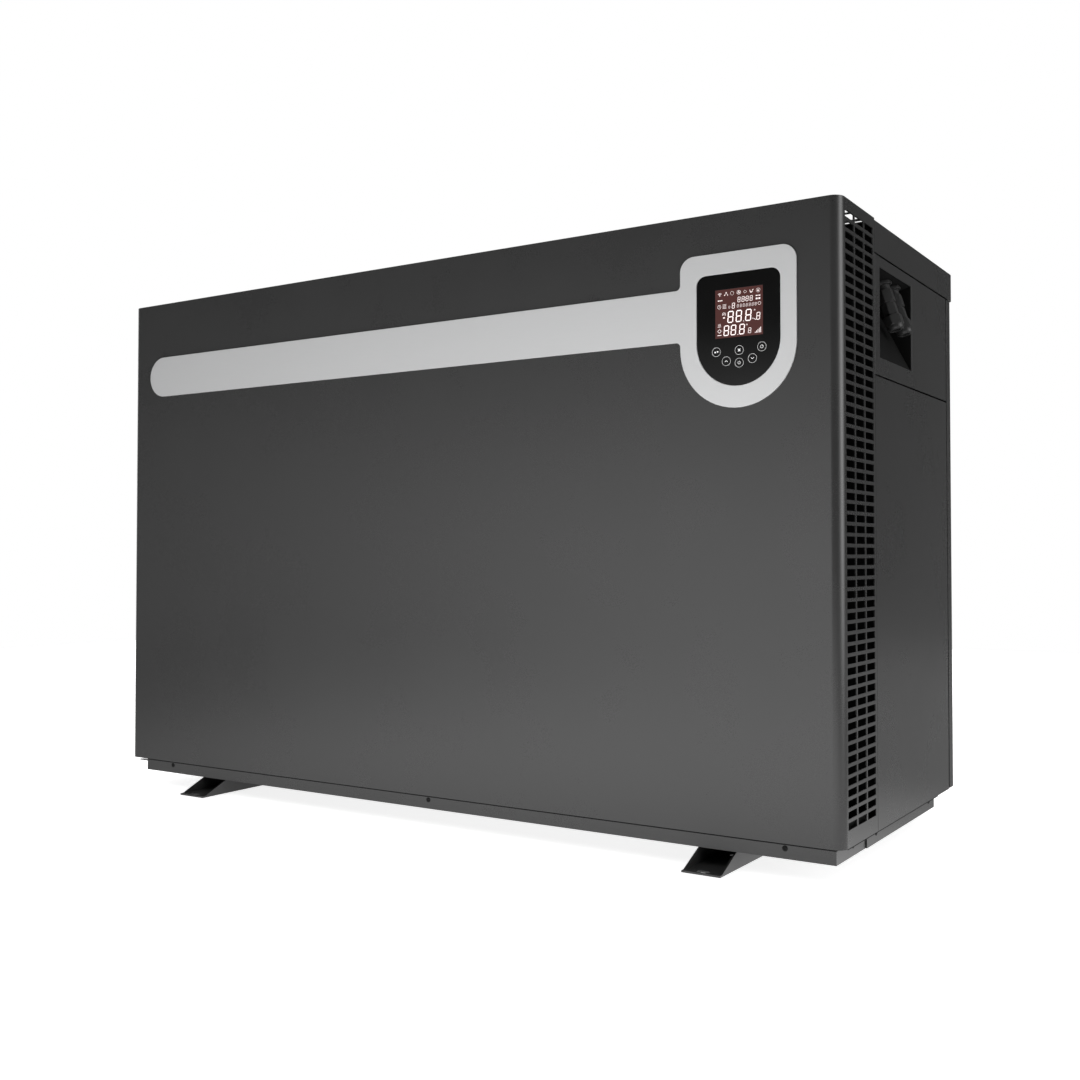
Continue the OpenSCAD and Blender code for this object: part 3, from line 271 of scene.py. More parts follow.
def grid_faces(bm, rings, closed_ring=True, closed_path=False):
    """Quads between successive rings of vertices."""
    count = len(rings)
    for i in range(count if closed_path else count - 1):
        a, b = rings[i], rings[(i + 1) % count]
        size = len(a)
        for j in range(size if closed_ring else size - 1):
            k = (j + 1) % size
            bm.faces.new((a[j], a[k], b[k], b[j]))


def around(radius, angle, height):
    """A point at an angle round the Z axis, given in millimetres."""
    return Vector((radius * math.cos(angle), radius * math.sin(angle), height)) * MM


def lathe(bm, profile, place, sides=48, closed=False):
    """Revolves a profile of (radius, height) points about the local Z axis of a placing matrix.

    An open profile is capped at both ends. A closed one makes a ring.
    """
    rings = []
    for radius, height in profile:
        ring = []
        for k in range(sides):
            ring.append(bm.verts.new(place @ around(radius, 2 * math.pi * k / sides, height)))
        rings.append(ring)
    grid_faces(bm, rings, closed_path=closed)
    if not closed:
        bm.faces.new(rings[0])
        bm.faces.new(rings[-1])


def hex_ring_profile(bm, place, across, bore, z0, z1, chamfer, sides=72):
    """A hexagonal nut of a given half width, its corners cut by a cone, with a round bore."""
    corner = across / math.cos(math.pi / 6)

    def reach(angle):
        local = (angle + math.pi / 6) % (math.pi / 3) - math.pi / 6
        return across / math.cos(local)

    rings = []
    levels = [(z0, True), (z0 + chamfer, False), (z1 - chamfer, False), (z1, True)]
    for height, cut in levels:
        ring = []
        for k in range(sides):
            angle = 2 * math.pi * k / sides
            radius = reach(angle)
            if cut:
                radius = min(radius, across * 0.99)
            else:
                radius = min(radius, corner * 0.985)
            ring.append(bm.verts.new(place @ around(radius, angle, height)))
        rings.append(ring)
    for height in (z1, z0):
        rings.append([bm.verts.new(place @ around(bore, 2 * math.pi * k / sides, height))
                      for k in range(sides)])
    grid_faces(bm, rings, closed_path=True)


def prism(bm, outline, y_front, y_back):
    """A flat plate facing -Y, from an outline of (x, z) points in metres."""
    front = [bm.verts.new((x, y_front, z)) for x, z in outline]
    back = [bm.verts.new((x, y_back, z)) for x, z in outline]
    bm.faces.new(front)
    bm.faces.new(back)
    grid_faces(bm, [front, back])


def arc_points(cx, cz, radius, start, end, steps):
    """Points along an arc, in degrees from +X towards +Z."""
    for k in range(steps + 1):
        angle = math.radians(start + (end - start) * k / steps)
        yield (cx + radius * math.cos(angle), cz + radius * math.sin(angle))


# ---------- display artwork ----------


class Artwork:
    """Flat symbols printed on a face that looks towards -Y, drawn in millimetres from an origin."""

    def __init__(self, origin_x, origin_z, face_y, proud):
        self.bm = bmesh.new()
        self.x, self.z = origin_x, origin_z
        self.front, self.back = face_y - proud * MM, face_y + 0.01 * MM

    def shape(self, points):
        prism(self.bm, [(self.x + u * MM, self.z + v * MM) for u, v in points], self.front, self.back)

    def line(self, u0, v0, u1, v1, width):
        """A stroke with pointed ends, as on a segment display."""
        length = math.hypot(u1 - u0, v1 - v0)
        du, dv = (u1 - u0) / length, (v1 - v0) / length
        nu, nv = -dv * width / 2, du * width / 2
        tip = min(width / 2, length / 3)
        tu, tv = du * tip, dv * tip
        self.shape([
            (u0, v0), (u0 + tu + nu, v0 + tv + nv), (u1 - tu + nu, v1 - tv + nv),
            (u1, v1), (u1 - tu - nu, v1 - tv - nv), (u0 + tu - nu, v0 + tv - nv),
        ])

    def arc(self, u, v, radius, width, start=0.0, end=360.0, steps=48):
        """Part of a ring, or a whole one as two halves."""
        if end - start >= 359.9:
            self.arc(u, v, radius, width, 0.0, 180.0, steps // 2)
            self.arc(u, v, radius, width, 180.0, 359.8, steps // 2)
            return
        outer = list(arc_points(u, v, radius + width / 2, start, end, steps))
        inner = list(arc_points(u, v, radius - width / 2, end, start, steps))
        self.shape(outer + inner)

    def dot(self, u, v, radius):
        self.shape(list(arc_points(u, v, radius, 0.0, 345.0, 23)))

    def block(self, u0, v0, u1, v1):
        self.shape([(u0, v0), (u1, v0), (u1, v1), (u0, v1)])

    def digit(self, u, v, width, height, stroke, slant=0.08):
        """A seven-segment eight, centred on (u, v)."""
        gap = stroke * 0.12
        half_w, half_h = (width - stroke) / 2, (height - stroke) / 2

        def at(side, level):
            return (u + side * half_w + slant * level * half_h, v + level * half_h)

        for level in (-1, 0, 1):
            a, b = at(-1, level), at(1, level)
            self.line(a[0] + gap, a[1], b[0] - gap, b[1], stroke)
        for side in (-1, 1):
            for low in (-1, 0):
                a, b = at(side, low), at(side, low + 1)
                self.line(a[0], a[1] + gap, b[0], b[1] - gap, stroke)

    def finish(self, name, material):
        return add_piece(name, self.bm, BODY_OF["display_glass"], material, sharp=30,
                         weighted=False)


def draw_lcd():
    """The lit symbols: a row of icons, a clock row, and two rows of large digits."""
    low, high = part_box("lcd_screen")
    w, h = (high.x - low.x) / MM, (high.z - low.z) / MM
    art = Artwork(low.x, high.z, low.y, 0.05)

    def at(u, v):
        """From shares of the width and of the height below the top edge."""
        return u * w, -v * h

    # Icon row: radio, network, timer ring, fan, valve, tap and heater.
    row = 0.092
    u, v = at(0.097, row)
    for radius in (0.9, 1.8, 2.7):
        art.arc(u, v - 1.6, radius, 0.32, 45, 135, 12)
    art.dot(u, v - 1.6, 0.35)
    u, v = at(0.232, row)
    art.line(u - 1.6, v - 1.2, u, v + 1.2, 0.25)
    art.line(u + 1.6, v - 1.2, u, v + 1.2, 0.25)
    for du, dv in ((-1.6, -1.3), (1.6, -1.3), (0, 1.3)):
        art.dot(u + du, v + dv, 0.5)
    u, v = at(0.36, row)
    for k in range(8):
        art.arc(u, v, 1.8, 0.32, k * 45, k * 45 + 28, 4)
    u, v = at(0.5, row)
    art.arc(u, v, 1.95, 0.25)
    for k in range(3):
        angle = math.radians(90 + 120 * k)
        art.dot(u + 0.85 * math.cos(angle), v + 0.85 * math.sin(angle), 0.5)
    u, v = at(0.633, row)
    art.line(u - 1.6, v, u, v + 1.6, 0.22)
    art.line(u, v + 1.6, u + 1.6, v, 0.22)
    art.line(u + 1.6, v, u, v - 1.6, 0.22)
    art.line(u, v - 1.6, u - 1.6, v, 0.22)
    u, v = at(0.768, row)
    art.arc(u - 0.4, v - 0.1, 1.15, 0.75, 180, 360, 16)
    art.line(u - 1.9, v + 1.4, u - 1.5, v - 0.1, 0.5)
    art.line(u + 0.6, v + 0.4, u + 2.0, v + 1.6, 0.55)
    u, v = at(0.903, row)
    art.arc(u, v, 1.95, 0.22)
    art.shape([(u - 0.9, v - 0.9), (u + 0.9, v - 0.9), (u, v + 1.1)])

    # Clock row, with short bars in place of words.
    for k in range(3):
        u, v = at(0.055 + 0.036 * k, 0.222)
        art.block(u, v - 0.5, u + 1.3, v + 0.5)
    for k, share in enumerate((0.505, 0.59, 0.675, 0.76)):
        u, v = at(share, 0.238)
        art.digit(u, v, 2.9, 5.2, 0.46)
    u, v = at(0.633, 0.238)
    art.dot(u, v + 1.0, 0.32)
    art.dot(u, v - 1.0, 0.32)
    for k in range(2):
        u, v = at(0.855 + 0.055 * k, 0.2)
        art.block(u, v - 0.45, u + 2.0, v + 0.45)
        u, v = at(0.855 + 0.055 * k, 0.262)
        art.block(u, v - 0.8, u + 1.9, v + 0.8)

    # Timer row.
    u, v = at(0.085, 0.352)
    art.arc(u, v, 1.8, 0.25)
    art.line(u, v - 0.1, u, v + 1.2, 0.28)
    art.line(u - 0.1, v, u + 1.1, v, 0.28)
    u, v = at(0.196, 0.352)
    for k in range(4):
        art.block(u - 1.9, v + 1.7 - 1.2 * k, u + 1.9, v + 2.05 - 1.2 * k)
    art.digit(*at(0.30, 0.375), 1.5, 2.4, 0.22)
    art.digit(*at(0.386, 0.352), 3.0, 5.6, 0.5)
    for k in range(7):
        art.digit(*at(0.48 + 0.062 * k, 0.366), 1.7, 3.0, 0.22)
    u, v = at(0.93, 0.362)
    art.arc(u, v, 1.45, 0.3)

    # Upper large reading.
    u, v = at(0.185, 0.512)
    art.arc(u, v, 1.7, 0.34, -60, 220, 16)
    art.line(u - 1.2, v - 0.6, u + 1.2, v + 0.8, 0.34)
    u, v = at(0.185, 0.583)
    art.block(u - 1.0, v - 0.6, u + 1.0, v + 0.5)
    for share in (0.325, 0.50, 0.70):
        art.digit(*at(share, 0.577), 6.3, 11.8, 1.1)
    u, v = at(0.60, 0.577)
    art.block(u - 0.4, v - 5.8, u + 0.4, v - 5.1)
    u, v = at(0.83, 0.487)
    art.arc(u, v, 0.55, 0.3, steps=16)
    for k in range(3):
        u, v = at(0.795 + 0.028 * k, 0.655 + 0.014 * k)
        art.block(u - 0.35, v - 0.5, u + 0.35, v + 0.4)
    art.digit(*at(0.906, 0.618), 3.9, 7.4, 0.68)

    # Lower large reading and the signal bars.
    u, v = at(0.088, 0.735)
    art.line(u - 1.9, v - 1.4, u + 1.9, v - 1.4, 0.32)
    for k in (-1, 0, 1):
        art.line(u + 1.1 * k, v - 0.8, u + 1.1 * k, v + 1.5, 0.32)
    u, v = at(0.088, 0.852)
    art.arc(u, v, 1.5, 0.38)
    for side in (-1, 1):
        art.line(u + side * 1.9, v, u + side * 2.6, v, 0.4)
        art.line(u, v + side * 1.9, u, v + side * 2.5, 0.4)
    u, v = at(0.088, 0.937)
    art.block(u - 2.1, v - 0.35, u + 2.1, v + 0.25)
    for share in (0.235, 0.385, 0.565):
        art.digit(*at(share, 0.853), 5.7, 10.4, 1.0)
    u, v = at(0.478, 0.853)
    art.block(u - 0.35, v - 5.2, u + 0.35, v - 4.6)
    u, v = at(0.668, 0.772)
    art.arc(u, v, 0.55, 0.3, steps=16)
    art.digit(*at(0.726, 0.895), 3.0, 5.4, 0.46)
    for k in range(5):
        u, v = at(0.836 + 0.028 * k, 0.958)
        art.block(u, v, u + 0.62, v + 1.0 + 1.1 * k)
    return art.finish("lcd_symbols", SEGMENT_WHITE)


def draw_keys():
    """Six touch keys printed on the glass: a ring each, with a plain symbol."""
    low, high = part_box("display_glass")
    centre_x = (low.x + high.x) / 2
    round_z = low.z + (high.x - low.x) / 2
    art = Artwork(centre_x, round_z, low.y, 0.03)
    ring = 4.45
    top_row, side_row, low_row, arrow_row = -9.5, -8.1, -21.9, -19.0
    keys = {
        "mode": (-23.1, top_row), "fan": (1.3, top_row), "timer": (25.1, side_row),
        "up": (-12.5, arrow_row - 0.4), "power": (1.3, low_row), "down": (15.2, arrow_row + 0.3),
    }
    for u, v in keys.values():
        art.arc(u, v, ring, 0.24)
    u, v = keys["mode"]
    art.dot(u - 1.3, v - 0.2, 0.85)
    art.dot(u + 1.3, v + 0.2, 0.85)
    u, v = keys["fan"]
    for k in range(4):
        angle = math.radians(45 + 90 * k)
        art.line(u, v, u + 2.0 * math.cos(angle), v + 2.0 * math.sin(angle), 0.5)
    for k in range(4):
        angle = math.radians(90 * k)
        art.line(u, v, u + 1.5 * math.cos(angle), v + 1.5 * math.sin(angle), 0.35)
    u, v = keys["timer"]
    art.arc(u, v, 1.5, 0.35)
    art.line(u, v, u + 0.8, v + 0.8, 0.3)
    u, v = keys["power"]
    art.arc(u, v, 1.4, 0.4, 125, 415, 30)
    art.line(u, v + 0.2, u, v + 2.0, 0.45)
    for name, turn in (("up", 1), ("down", -1)):
        u, v = keys[name]
        art.line(u - 1.7, v - 0.8 * turn, u + 0.1, v + 0.7 * turn, 0.5)
        art.line(u + 1.7, v - 0.8 * turn, u - 0.1, v + 0.7 * turn, 0.5)
    return art.finish("touch_keys", PRINT_WHITE)


# ---------- casing ----------

SHEET_PARTS = {
    "front_cover": 0.3, "top_lid": 0.5, "right_upper_panel": 0.3, "right_lower_panel": 0.3,
    "rear_service_panel": 0.3, "rear_guard": 0.5, "left_guard": 0.5, "base_pan": 0.4, "foot_left": 0.5,
    "foot_right": 0.5, "gland_pocket": 0.2, "trim_band": 0.35, "display_glass": 0.15, "lcd_screen": 0.0,
}


def make_casing():
    for node, edge in SHEET_PARTS.items():
        finish_node(node, edge)


def make_painted_shadow_strips():
    """Black strips of painted shadow under the lower edges of the casing and of the left guard."""
    pan_low, pan_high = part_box("base_pan")
    cover_low, cover_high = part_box("front_cover")
    panel_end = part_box("right_lower_panel")[1].y
    guard_low, guard_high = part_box("left_guard")
    ledge_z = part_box("rear_guard")[0].z
    clear, thick, pan_step = 0.1 * MM, 0.95 * MM, 3.0 * MM
    past_lap, past_corner, pan_end = 1.6 * MM, 12 * MM, panel_end - 50 * MM
    z1 = cover_low.z - clear
    z0 = z1 - thick
    outer_x = cover_high.x - 0.3 * MM
    front_y = cover_low.y + 0.7 * MM
    boxes = [
        ((-pan_high.x, front_y, z0), (pan_high.x, pan_low.y + pan_step - clear, z1)),
        ((pan_high.x + past_lap, front_y + past_corner, z0), (outer_x, pan_end, z1)),
        ((guard_low.x + clear, guard_low.y, ledge_z + clear),
         (guard_high.x - clear, guard_high.y, guard_low.z - clear)),
    ]
    bm = bmesh.new()
    for low, high in boxes:
        size = Vector(high) - Vector(low)
        place = Matrix.Translation((Vector(high) + Vector(low)) / 2)
        bmesh.ops.create_cube(bm, size=1.0, matrix=place @ Matrix.Diagonal(size).to_4x4())
    return add_piece("lower_edge_painted_shadow", bm, BODY_OF["base_pan"], MATERIAL["inner_coat"],
                     sharp=30)


INNER_PARTS = {
    "display_board": 0.1, "display_housing": 0.4, "foot_bolts": 0.3, "gland_lock_nuts": 0.3,
    "fan_bulkhead": 0.3, "fan_orifice": 0.0, "fan_nut": 0.4, "motor_shaft": 0.3, "fan_motor": 1.0,
    "motor_bracket": 0.3, "motor_screws": 0.3, "evaporator_bends": 0.0, "evaporator_end_plates": 0.2,
    "partition": 0.2, "compressor": 1.2, "compressor_grommets": 0.5, "compressor_nuts": 0.3,
    "accumulator": 0.0, "four_way_valve": 0.3, "expansion_valve": 0.3, "discharge_line": 0.0,
    "suction_line": 0.0, "coil_gas_line": 0.0, "exchanger_gas_line": 0.0, "liquid_line": 0.0,
    "exchanger_shell": 0.8, "exchanger_coil": 0.0, "exchanger_feet": 0.2, "union_nut_inlet": 0.7,
    "union_nut_outlet": 0.7, "union_tails": 0.6, "union_seals": 0.1, "flow_switch": 0.4,
    "flow_paddle": 0.1, "electrical_box": 0.3, "main_board": 0.3, "heat_sink": 0.2,
    "terminal_block": 0.4, "drain_spout": 0.4,
}


def make_inner_parts():
    for node, edge in INNER_PARTS.items():
        finish_node(node, edge)


# ---------- screws ----------


def pan_head(bm, centre, axis, head_r, shank_r, height, length, cross=0.5, sides=48):
    """A pan-head screw with a cross recess. centre is under the head, axis points out of it."""
    turn = axis.to_track_quat("Z", "Y").to_matrix().to_4x4()
    place = Matrix.Translation(centre) @ turn
    steps = 14
    rings = []
    for i in range(steps, 0, -1):
        radius = head_r * i / steps
        ring = []
        for k in range(sides):
            angle = 2 * math.pi * k / sides
            x, y = radius * math.cos(angle), radius * math.sin(angle)
            dome = height * (1 - 0.55 * (radius / head_r) ** 4)
            arm = head_r * 0.17
            inside = min(abs(x), abs(y)) < arm and radius < head_r * cross
            depth = height * 0.6 if inside else 0.0
            ring.append(bm.verts.new(place @ Vector((x, y, dome - depth))))
        rings.append(ring)
    base = []
    for radius, level in ((shank_r, -length), (shank_r, 0.0), (head_r, 0.0)):
        base.append([bm.verts.new(place @ Vector((radius * math.cos(2 * math.pi * k / sides),
                                                  radius * math.sin(2 * math.pi * k / sides), level)))
                     for k in range(sides)])
    grid_faces(bm, base + rings)
    bm.faces.new(base[0])
    bm.faces.new(rings[-1])


def make_casing_screws():
    bm = bmesh.new()
    for points in islands("casing_screws"):
        low = Vector(map(min, *points))
        high = Vector(map(max, *points))
        size = high - low
        middle = (low + high) / 2
        spans = [abs(size[(i + 1) % 3] - size[(i + 2) % 3]) for i in range(3)]
        along = spans.index(min(spans))
        head_r = size[(along + 1) % 3] / 2

        def radius(p):
            return max(abs(p[i] - middle[i]) for i in range(3) if i != along)

        wide = [p[along] for p in points if radius(p) > 0.8 * head_r]
        thin = [p for p in points if radius(p) <= 0.8 * head_r]
        out = 1.0 if max(wide) >= high[along] - WELD else -1.0
        axis = Vector((0.0, 0.0, 0.0))
        axis[along] = out
        height = max(wide) - min(wide)
        shank_r = max(radius(p) for p in thin)
        centre = middle.copy()
        centre[along] = min(wide) if out > 0 else max(wide)
        pan_head(bm, centre, axis, head_r, shank_r, height, size[along] - height)
    slot = SLOT_OF["casing_screws"]
    return add_piece("casing_screws_cross", bm, BODY_OF["casing_screws"], MATERIAL[slot],
                     ["casing_screws"], sharp=40)


# ---------- cable glands ----------


def gland_place(joint):
    """The placing matrix of a gland: local Z runs along its axis, out of the pocket, from the plate."""
    axis = Vector(JOINT[joint]["axis"]).normalized()
    along = 44.0 * MM
    root = Vector(JOINT[joint]["pos_m"]) - axis * along
    turn = Vector((0, 0, 1)).rotation_difference(axis).to_matrix().to_4x4()
    return Matrix.Translation(root) @ turn


def make_gland_body(bm, place):
    """Threaded tail, flange, ribbed neck and two hexagons, bored through, in millimetres."""
    bore = 5.4
    profile = [(bore, -9.8)]
    for k in range(6):
        low = -9.8 + 1.5 * k
        profile += [(7.3, low + 0.1), (7.85, low + 0.75)]
    profile += [(7.3, -0.7), (7.3, 0.2), (bore, 0.2)]
    lathe(bm, profile, place, closed=True)
    hex_ring_profile(bm, place, 9.35, bore, 0.15, 4.0, 0.7)
    neck = [(bore, 3.9)]
    for k in range(4):
        low = 4.0 + 1.35 * k
        neck += [(6.7, low), (7.2, low + 0.45), (7.2, low + 0.8), (6.7, low + 1.25)]
    neck += [(6.9, 9.4), (bore, 9.4)]
    lathe(bm, neck, place, closed=True)
    hex_ring_profile(bm, place, 7.8, bore, 9.2, 23.6, 0.8)
    lathe(bm, [(bore, 23.4), (6.7, 23.4), (6.7, 24.6), (bore, 24.6)], place, closed=True)
    hex_ring_profile(bm, place, 7.0, bore, 24.4, 37.9, 0.6)
    tip = [(bore, 37.7)]
    for k in range(4):
        low = 37.8 + 1.7 * k
        tip += [(6.5, low), (6.9, low + 0.85)]
    tip += [(6.3, 44.9), (bore, 44.9)]
    lathe(bm, tip, place, closed=True)


def make_gland_nut(node, joint):
    """The cap nut: a hexagon, a rolled rim and a dome with a cable hole."""
    bm = bmesh.new()
    place = gland_place(joint)
    hex_ring_profile(bm, place, 8.8, 7.25, 38.35, 49.2, 0.8)
    dome = [(7.25, 48.9), (8.6, 48.9)]
    rim_r, steps = 6.4, 8
    for k in range(steps + 1):
        angle = math.radians(90 * k / steps)
        bulge = 2.3 * math.cos(angle) ** 0.8 if k < steps else 0.0
        dome.append((rim_r + bulge, 49.2 + 5.05 * math.sin(angle)))
    dome += [(5.2, 54.2), (5.2, 52.0), (7.25, 52.0)]
    lathe(bm, dome, place, closed=True)
    slot = SLOT_OF[node]
    return add_piece(node + "_finished", bm, BODY_OF[node], MATERIAL[slot], [node], sharp=28)


def make_glands():
    joints = {"gland_nut_front": "gland_nut_front_turn", "gland_nut_rear": "gland_nut_rear_turn"}
    bodies = bmesh.new()
    seals = bmesh.new()
    for node, joint in joints.items():
        place = gland_place(joint)
        make_gland_nut(node, joint)
        make_gland_body(bodies, place)
        lathe(seals, [(4.5, 45.1), (6.7, 45.1), (6.7, 51.0), (6.1, 51.8), (4.9, 51.8), (4.5, 51.3)],
              place, closed=True)
    for node, bm in (("gland_bodies", bodies), ("gland_seals", seals)):
        slot = SLOT_OF[node]
        add_piece(node + "_finished", bm, BODY_OF[node], MATERIAL[slot], [node], sharp=28)


# ---------- fan ----------

BLADE_ROOT_R = 48.0
BLADE_TIP_R = 214.0
BLADE_T = 3.0


def blade_section(u, share, top):
    """A point on a blade: u runs from root to tip, share across the chord from -0.5 to 0.5."""
    radius = BLADE_ROOT_R + u * (BLADE_TIP_R - BLADE_ROOT_R)
    chord = 96 + 78 * u
    pitch = math.radians(42 - 20 * u)
    camber = 1.35 * (1 - (2 * share) ** 2)
    thick = BLADE_T / 2 * (0.35 + 0.65 * math.sqrt(max(1 - (2 * share) ** 2, 0.0)))
    along = share * chord
    lift = camber * 0.06 * chord + (thick if top else -thick)
    across = along * math.cos(pitch) - lift * math.sin(pitch)
    axial = along * math.sin(pitch) + lift * math.cos(pitch)
    sweep = across / radius + math.radians(16 * u)
    return radius, sweep, axial


def make_fan():
    """Three smooth swept blades on a ribbed hub."""
    joint = JOINT["fan_spin"]
    centre = Vector(joint["pos_m"])
    blade_axial = -38.0
    blades, spans, chords = 3, 22, 20
    bm = bmesh.new()
    for b in range(blades):
        turn = 2 * math.pi * b / blades
        rings = []
        for i in range(spans + 1):
            u = i / spans
            ring = []
            shares = [j / chords - 0.5 for j in range(chords + 1)]
            for top, order in ((False, shares), (True, shares[::-1])):
                for share in order:
                    radius, sweep, axial = blade_section(u, share, top)
                    angle = sweep + turn
                    ring.append(bm.verts.new((centre.x + radius * MM * math.cos(angle),
                                              (blade_axial + axial) * MM,
                                              centre.z + radius * MM * math.sin(angle))))
            rings.append(ring)
        grid_faces(bm, rings)
        bm.faces.new(rings[0])
        bm.faces.new(rings[-1])
    place = Matrix.Translation((centre.x, 0, centre.z)) @ Matrix.Rotation(-math.pi / 2, 4, "X")
    hub_r, hub_y0, hub_y1, shaft_r, boss_r = 55.0, -78.0, -8.0, 6.05, 14.0
    rim = 6.0
    boss_y1 = hub_y1 - 12
    shell = [(hub_r, hub_y1), (hub_r, hub_y0 + rim)]
    for a in range(15, 91, 15):
        turn = math.radians(a)
        shell.append((hub_r - rim + rim * math.cos(turn), hub_y0 + rim - rim * math.sin(turn)))
    shell += [(24.0, hub_y0), (22.0, hub_y0 + 1.5), (shaft_r, hub_y0 + 1.5), (shaft_r, boss_y1),
              (boss_r, boss_y1), (boss_r, hub_y0 + 5), (hub_r - 4, hub_y0 + 7), (hub_r - 4, hub_y1)]
    lathe(bm, shell, place, sides=96, closed=True)
    ribs = 8
    for k in range(ribs):
        angle = 2 * math.pi * k / ribs
        spin = place @ Matrix.Rotation(angle, 4, "Z")
        corners = [(13.5, -1.2), (hub_r - 3.5, -1.2), (hub_r - 3.5, 1.2), (13.5, 1.2)]
        bottom = [bm.verts.new(spin @ (Vector((x, y, hub_y0 + 4.5)) * MM)) for x, y in corners]
        top = [bm.verts.new(spin @ (Vector((x, y, hub_y1 - 14)) * MM)) for x, y in corners]
        grid_faces(bm, [bottom, top])
        bm.faces.new(bottom)
        bm.faces.new(top)
    slot = SLOT_OF["fan_rotor"]
    return add_piece("fan_rotor_finished", bm, BODY_OF["fan_rotor"], MATERIAL[slot], ["fan_rotor"])


# ---------- evaporator ----------

COIL_T = 36 * MM
COIL_BEND = 70 * MM
FIN_PITCH = 2.3 * MM
FIN_T = 0.16 * MM


def coil_route():
    """The coil's centre line: a function from length to (point, direction), and its whole length."""
    low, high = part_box("evaporator_fins")
    middle_r = COIL_BEND - COIL_T / 2
    bend_x, bend_y = low.x + COIL_BEND, high.y - COIL_BEND
    back = high.x - bend_x
    turn = middle_r * math.pi / 2
    side = bend_y - low.y

    def at(s):
        if s < back:
            return Vector((high.x - s, high.y - COIL_T / 2, 0)), Vector((-1, 0, 0))
        if s < back + turn:
            angle = (s - back) / middle_r
            point = Vector((bend_x - middle_r * math.sin(angle), bend_y + middle_r * math.cos(angle), 0))
            return point, Vector((-math.cos(angle), -math.sin(angle), 0))
        return Vector((low.x + COIL_T / 2, bend_y - (s - back - turn), 0)), Vector((0, -1, 0))

    return at, back + turn + side


def make_fins():
    """The stack of thin corrugated fins."""
    at, whole = coil_route()
    low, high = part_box("evaporator_fins")
    count = int(whole / FIN_PITCH)
    waves = 8
    wave_t = 0.45 * MM
    fin_w = COIL_T - 0.4 * MM
    bm = bmesh.new()
    for k in range(count):
        point, along = at((k + 0.5) * whole / count)
        across = Vector((-along.y, along.x, 0))
        sides = []
        for face in (-0.5, 0.5):
            for i in (range(waves + 1) if face < 0 else range(waves, -1, -1)):
                ripple = wave_t * (1 if i % 2 else -1)
                sides.append(point + across * fin_w * (i / waves - 0.5)
                             + along * (ripple + face * FIN_T))
        rings = [[bm.verts.new((p.x, p.y, z)) for p in sides] for z in (low.z, high.z)]
        grid_faces(bm, rings)
        for ring in rings:
            size = len(ring)
            for j in range(waves):
                bm.faces.new((ring[j], ring[j + 1], ring[size - 2 - j], ring[size - 1 - j]))
    slot = SLOT_OF["evaporator_fins"]
    return add_piece("evaporator_fin_stack", bm, BODY_OF["evaporator_fins"], MATERIAL[slot],
                     ["evaporator_fins"], sharp=15, weighted=False)


def make_coil_tubes():
    """The copper tubes that run through the fins, two rows deep."""
    at, whole = coil_route()
    low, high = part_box("evaporator_fins")
    rows, tube_r, sides, stations = 22, 4.0 * MM, 10, 30
    pitch = (high.z - low.z) / rows
    bm = bmesh.new()
    for row in range(rows):
        for offset in (-8 * MM, 8 * MM):
            z = low.z + (row + 0.5) * pitch
            rings = []
            for i in range(stations + 1):
                point, along = at(min(whole * i / stations, whole - WELD))
                across = Vector((-along.y, along.x, 0))
                centre = point + across * offset + Vector((0, 0, z))
                rings.append([bm.verts.new(centre + across * tube_r * math.cos(2 * math.pi * j / sides)
                                           + Vector((0, 0, tube_r * math.sin(2 * math.pi * j / sides))))
                              for j in range(sides)])
            grid_faces(bm, rings)
            bm.faces.new(rings[0])
            bm.faces.new(rings[-1])
    return add_piece("evaporator_tubes", bm, BODY_OF["evaporator_bends"], MATERIAL["copper"],
                     weighted=False)


# ---------- studio ----------

CAMERA_AT = Vector((0.87725, -1.31857, 0.30787))
CAMERA_LOOK = Vector((-0.54321, 0.83927, 0.02364))


def make_camera():
    camera = bpy.data.cameras.new("camera")
    camera.lens = 41.104
    camera.sensor_width = 36.0
    camera.shift_y = -0.01264
    camera.clip_start = 0.01
    holder = bpy.data.objects.new("camera", camera)
    bpy.context.scene.collection.objects.link(holder)
    holder.location = CAMERA_AT
    holder.rotation_mode = "QUATERNION"
    holder.rotation_quaternion = CAMERA_LOOK.to_track_quat("-Z", "Y")
    bpy.context.scene.camera = holder


def ramp(nodes, links, value, low, high, start, end):
    """A value that goes smoothly from start to end while its input goes from low to high."""
    step = nodes.new("ShaderNodeMapRange")
    step.interpolation_type = "SMOOTHSTEP"
    for name, number in (("From Min", low), ("From Max", high), ("To Min", start), ("To Max", end)):
        socket(step, name, number)
    links.new(value, step.inputs["Value"])
    return step.outputs["Result"]


def arithmetic(nodes, links, operation, a, b):
    """A math node on two inputs, each a socket or a number."""
    step = nodes.new("ShaderNodeMath")
    step.operation = operation
    for place, value in enumerate((a, b)):
        if isinstance(value, (int, float)):
            socket(step, place, float(value))
        else:
            links.new(value, step.inputs[place])
    return step.outputs["Value"]


# The pool is the light that lies on the floor in front. Its reach is where it fades and where it ends.
FLOOR_BOUNCE = 0.42
POOL_AT = (0.25, -1.2, 0.0)
POOL_REACH = (0.4, 1.7)
POOL_LIGHT = 2.45
ROOM = 0.01
# Soft light areas of the room: compass angle from +X towards +Y, elevation, narrowness, strength.
ROOM_LIGHTS = [
    (-110, 0, 12, 2.9),
    (6, 8, 14, 6.0),
    (90, -4, 40, 0.45),
    (145, 25, 5, 2.6),
]


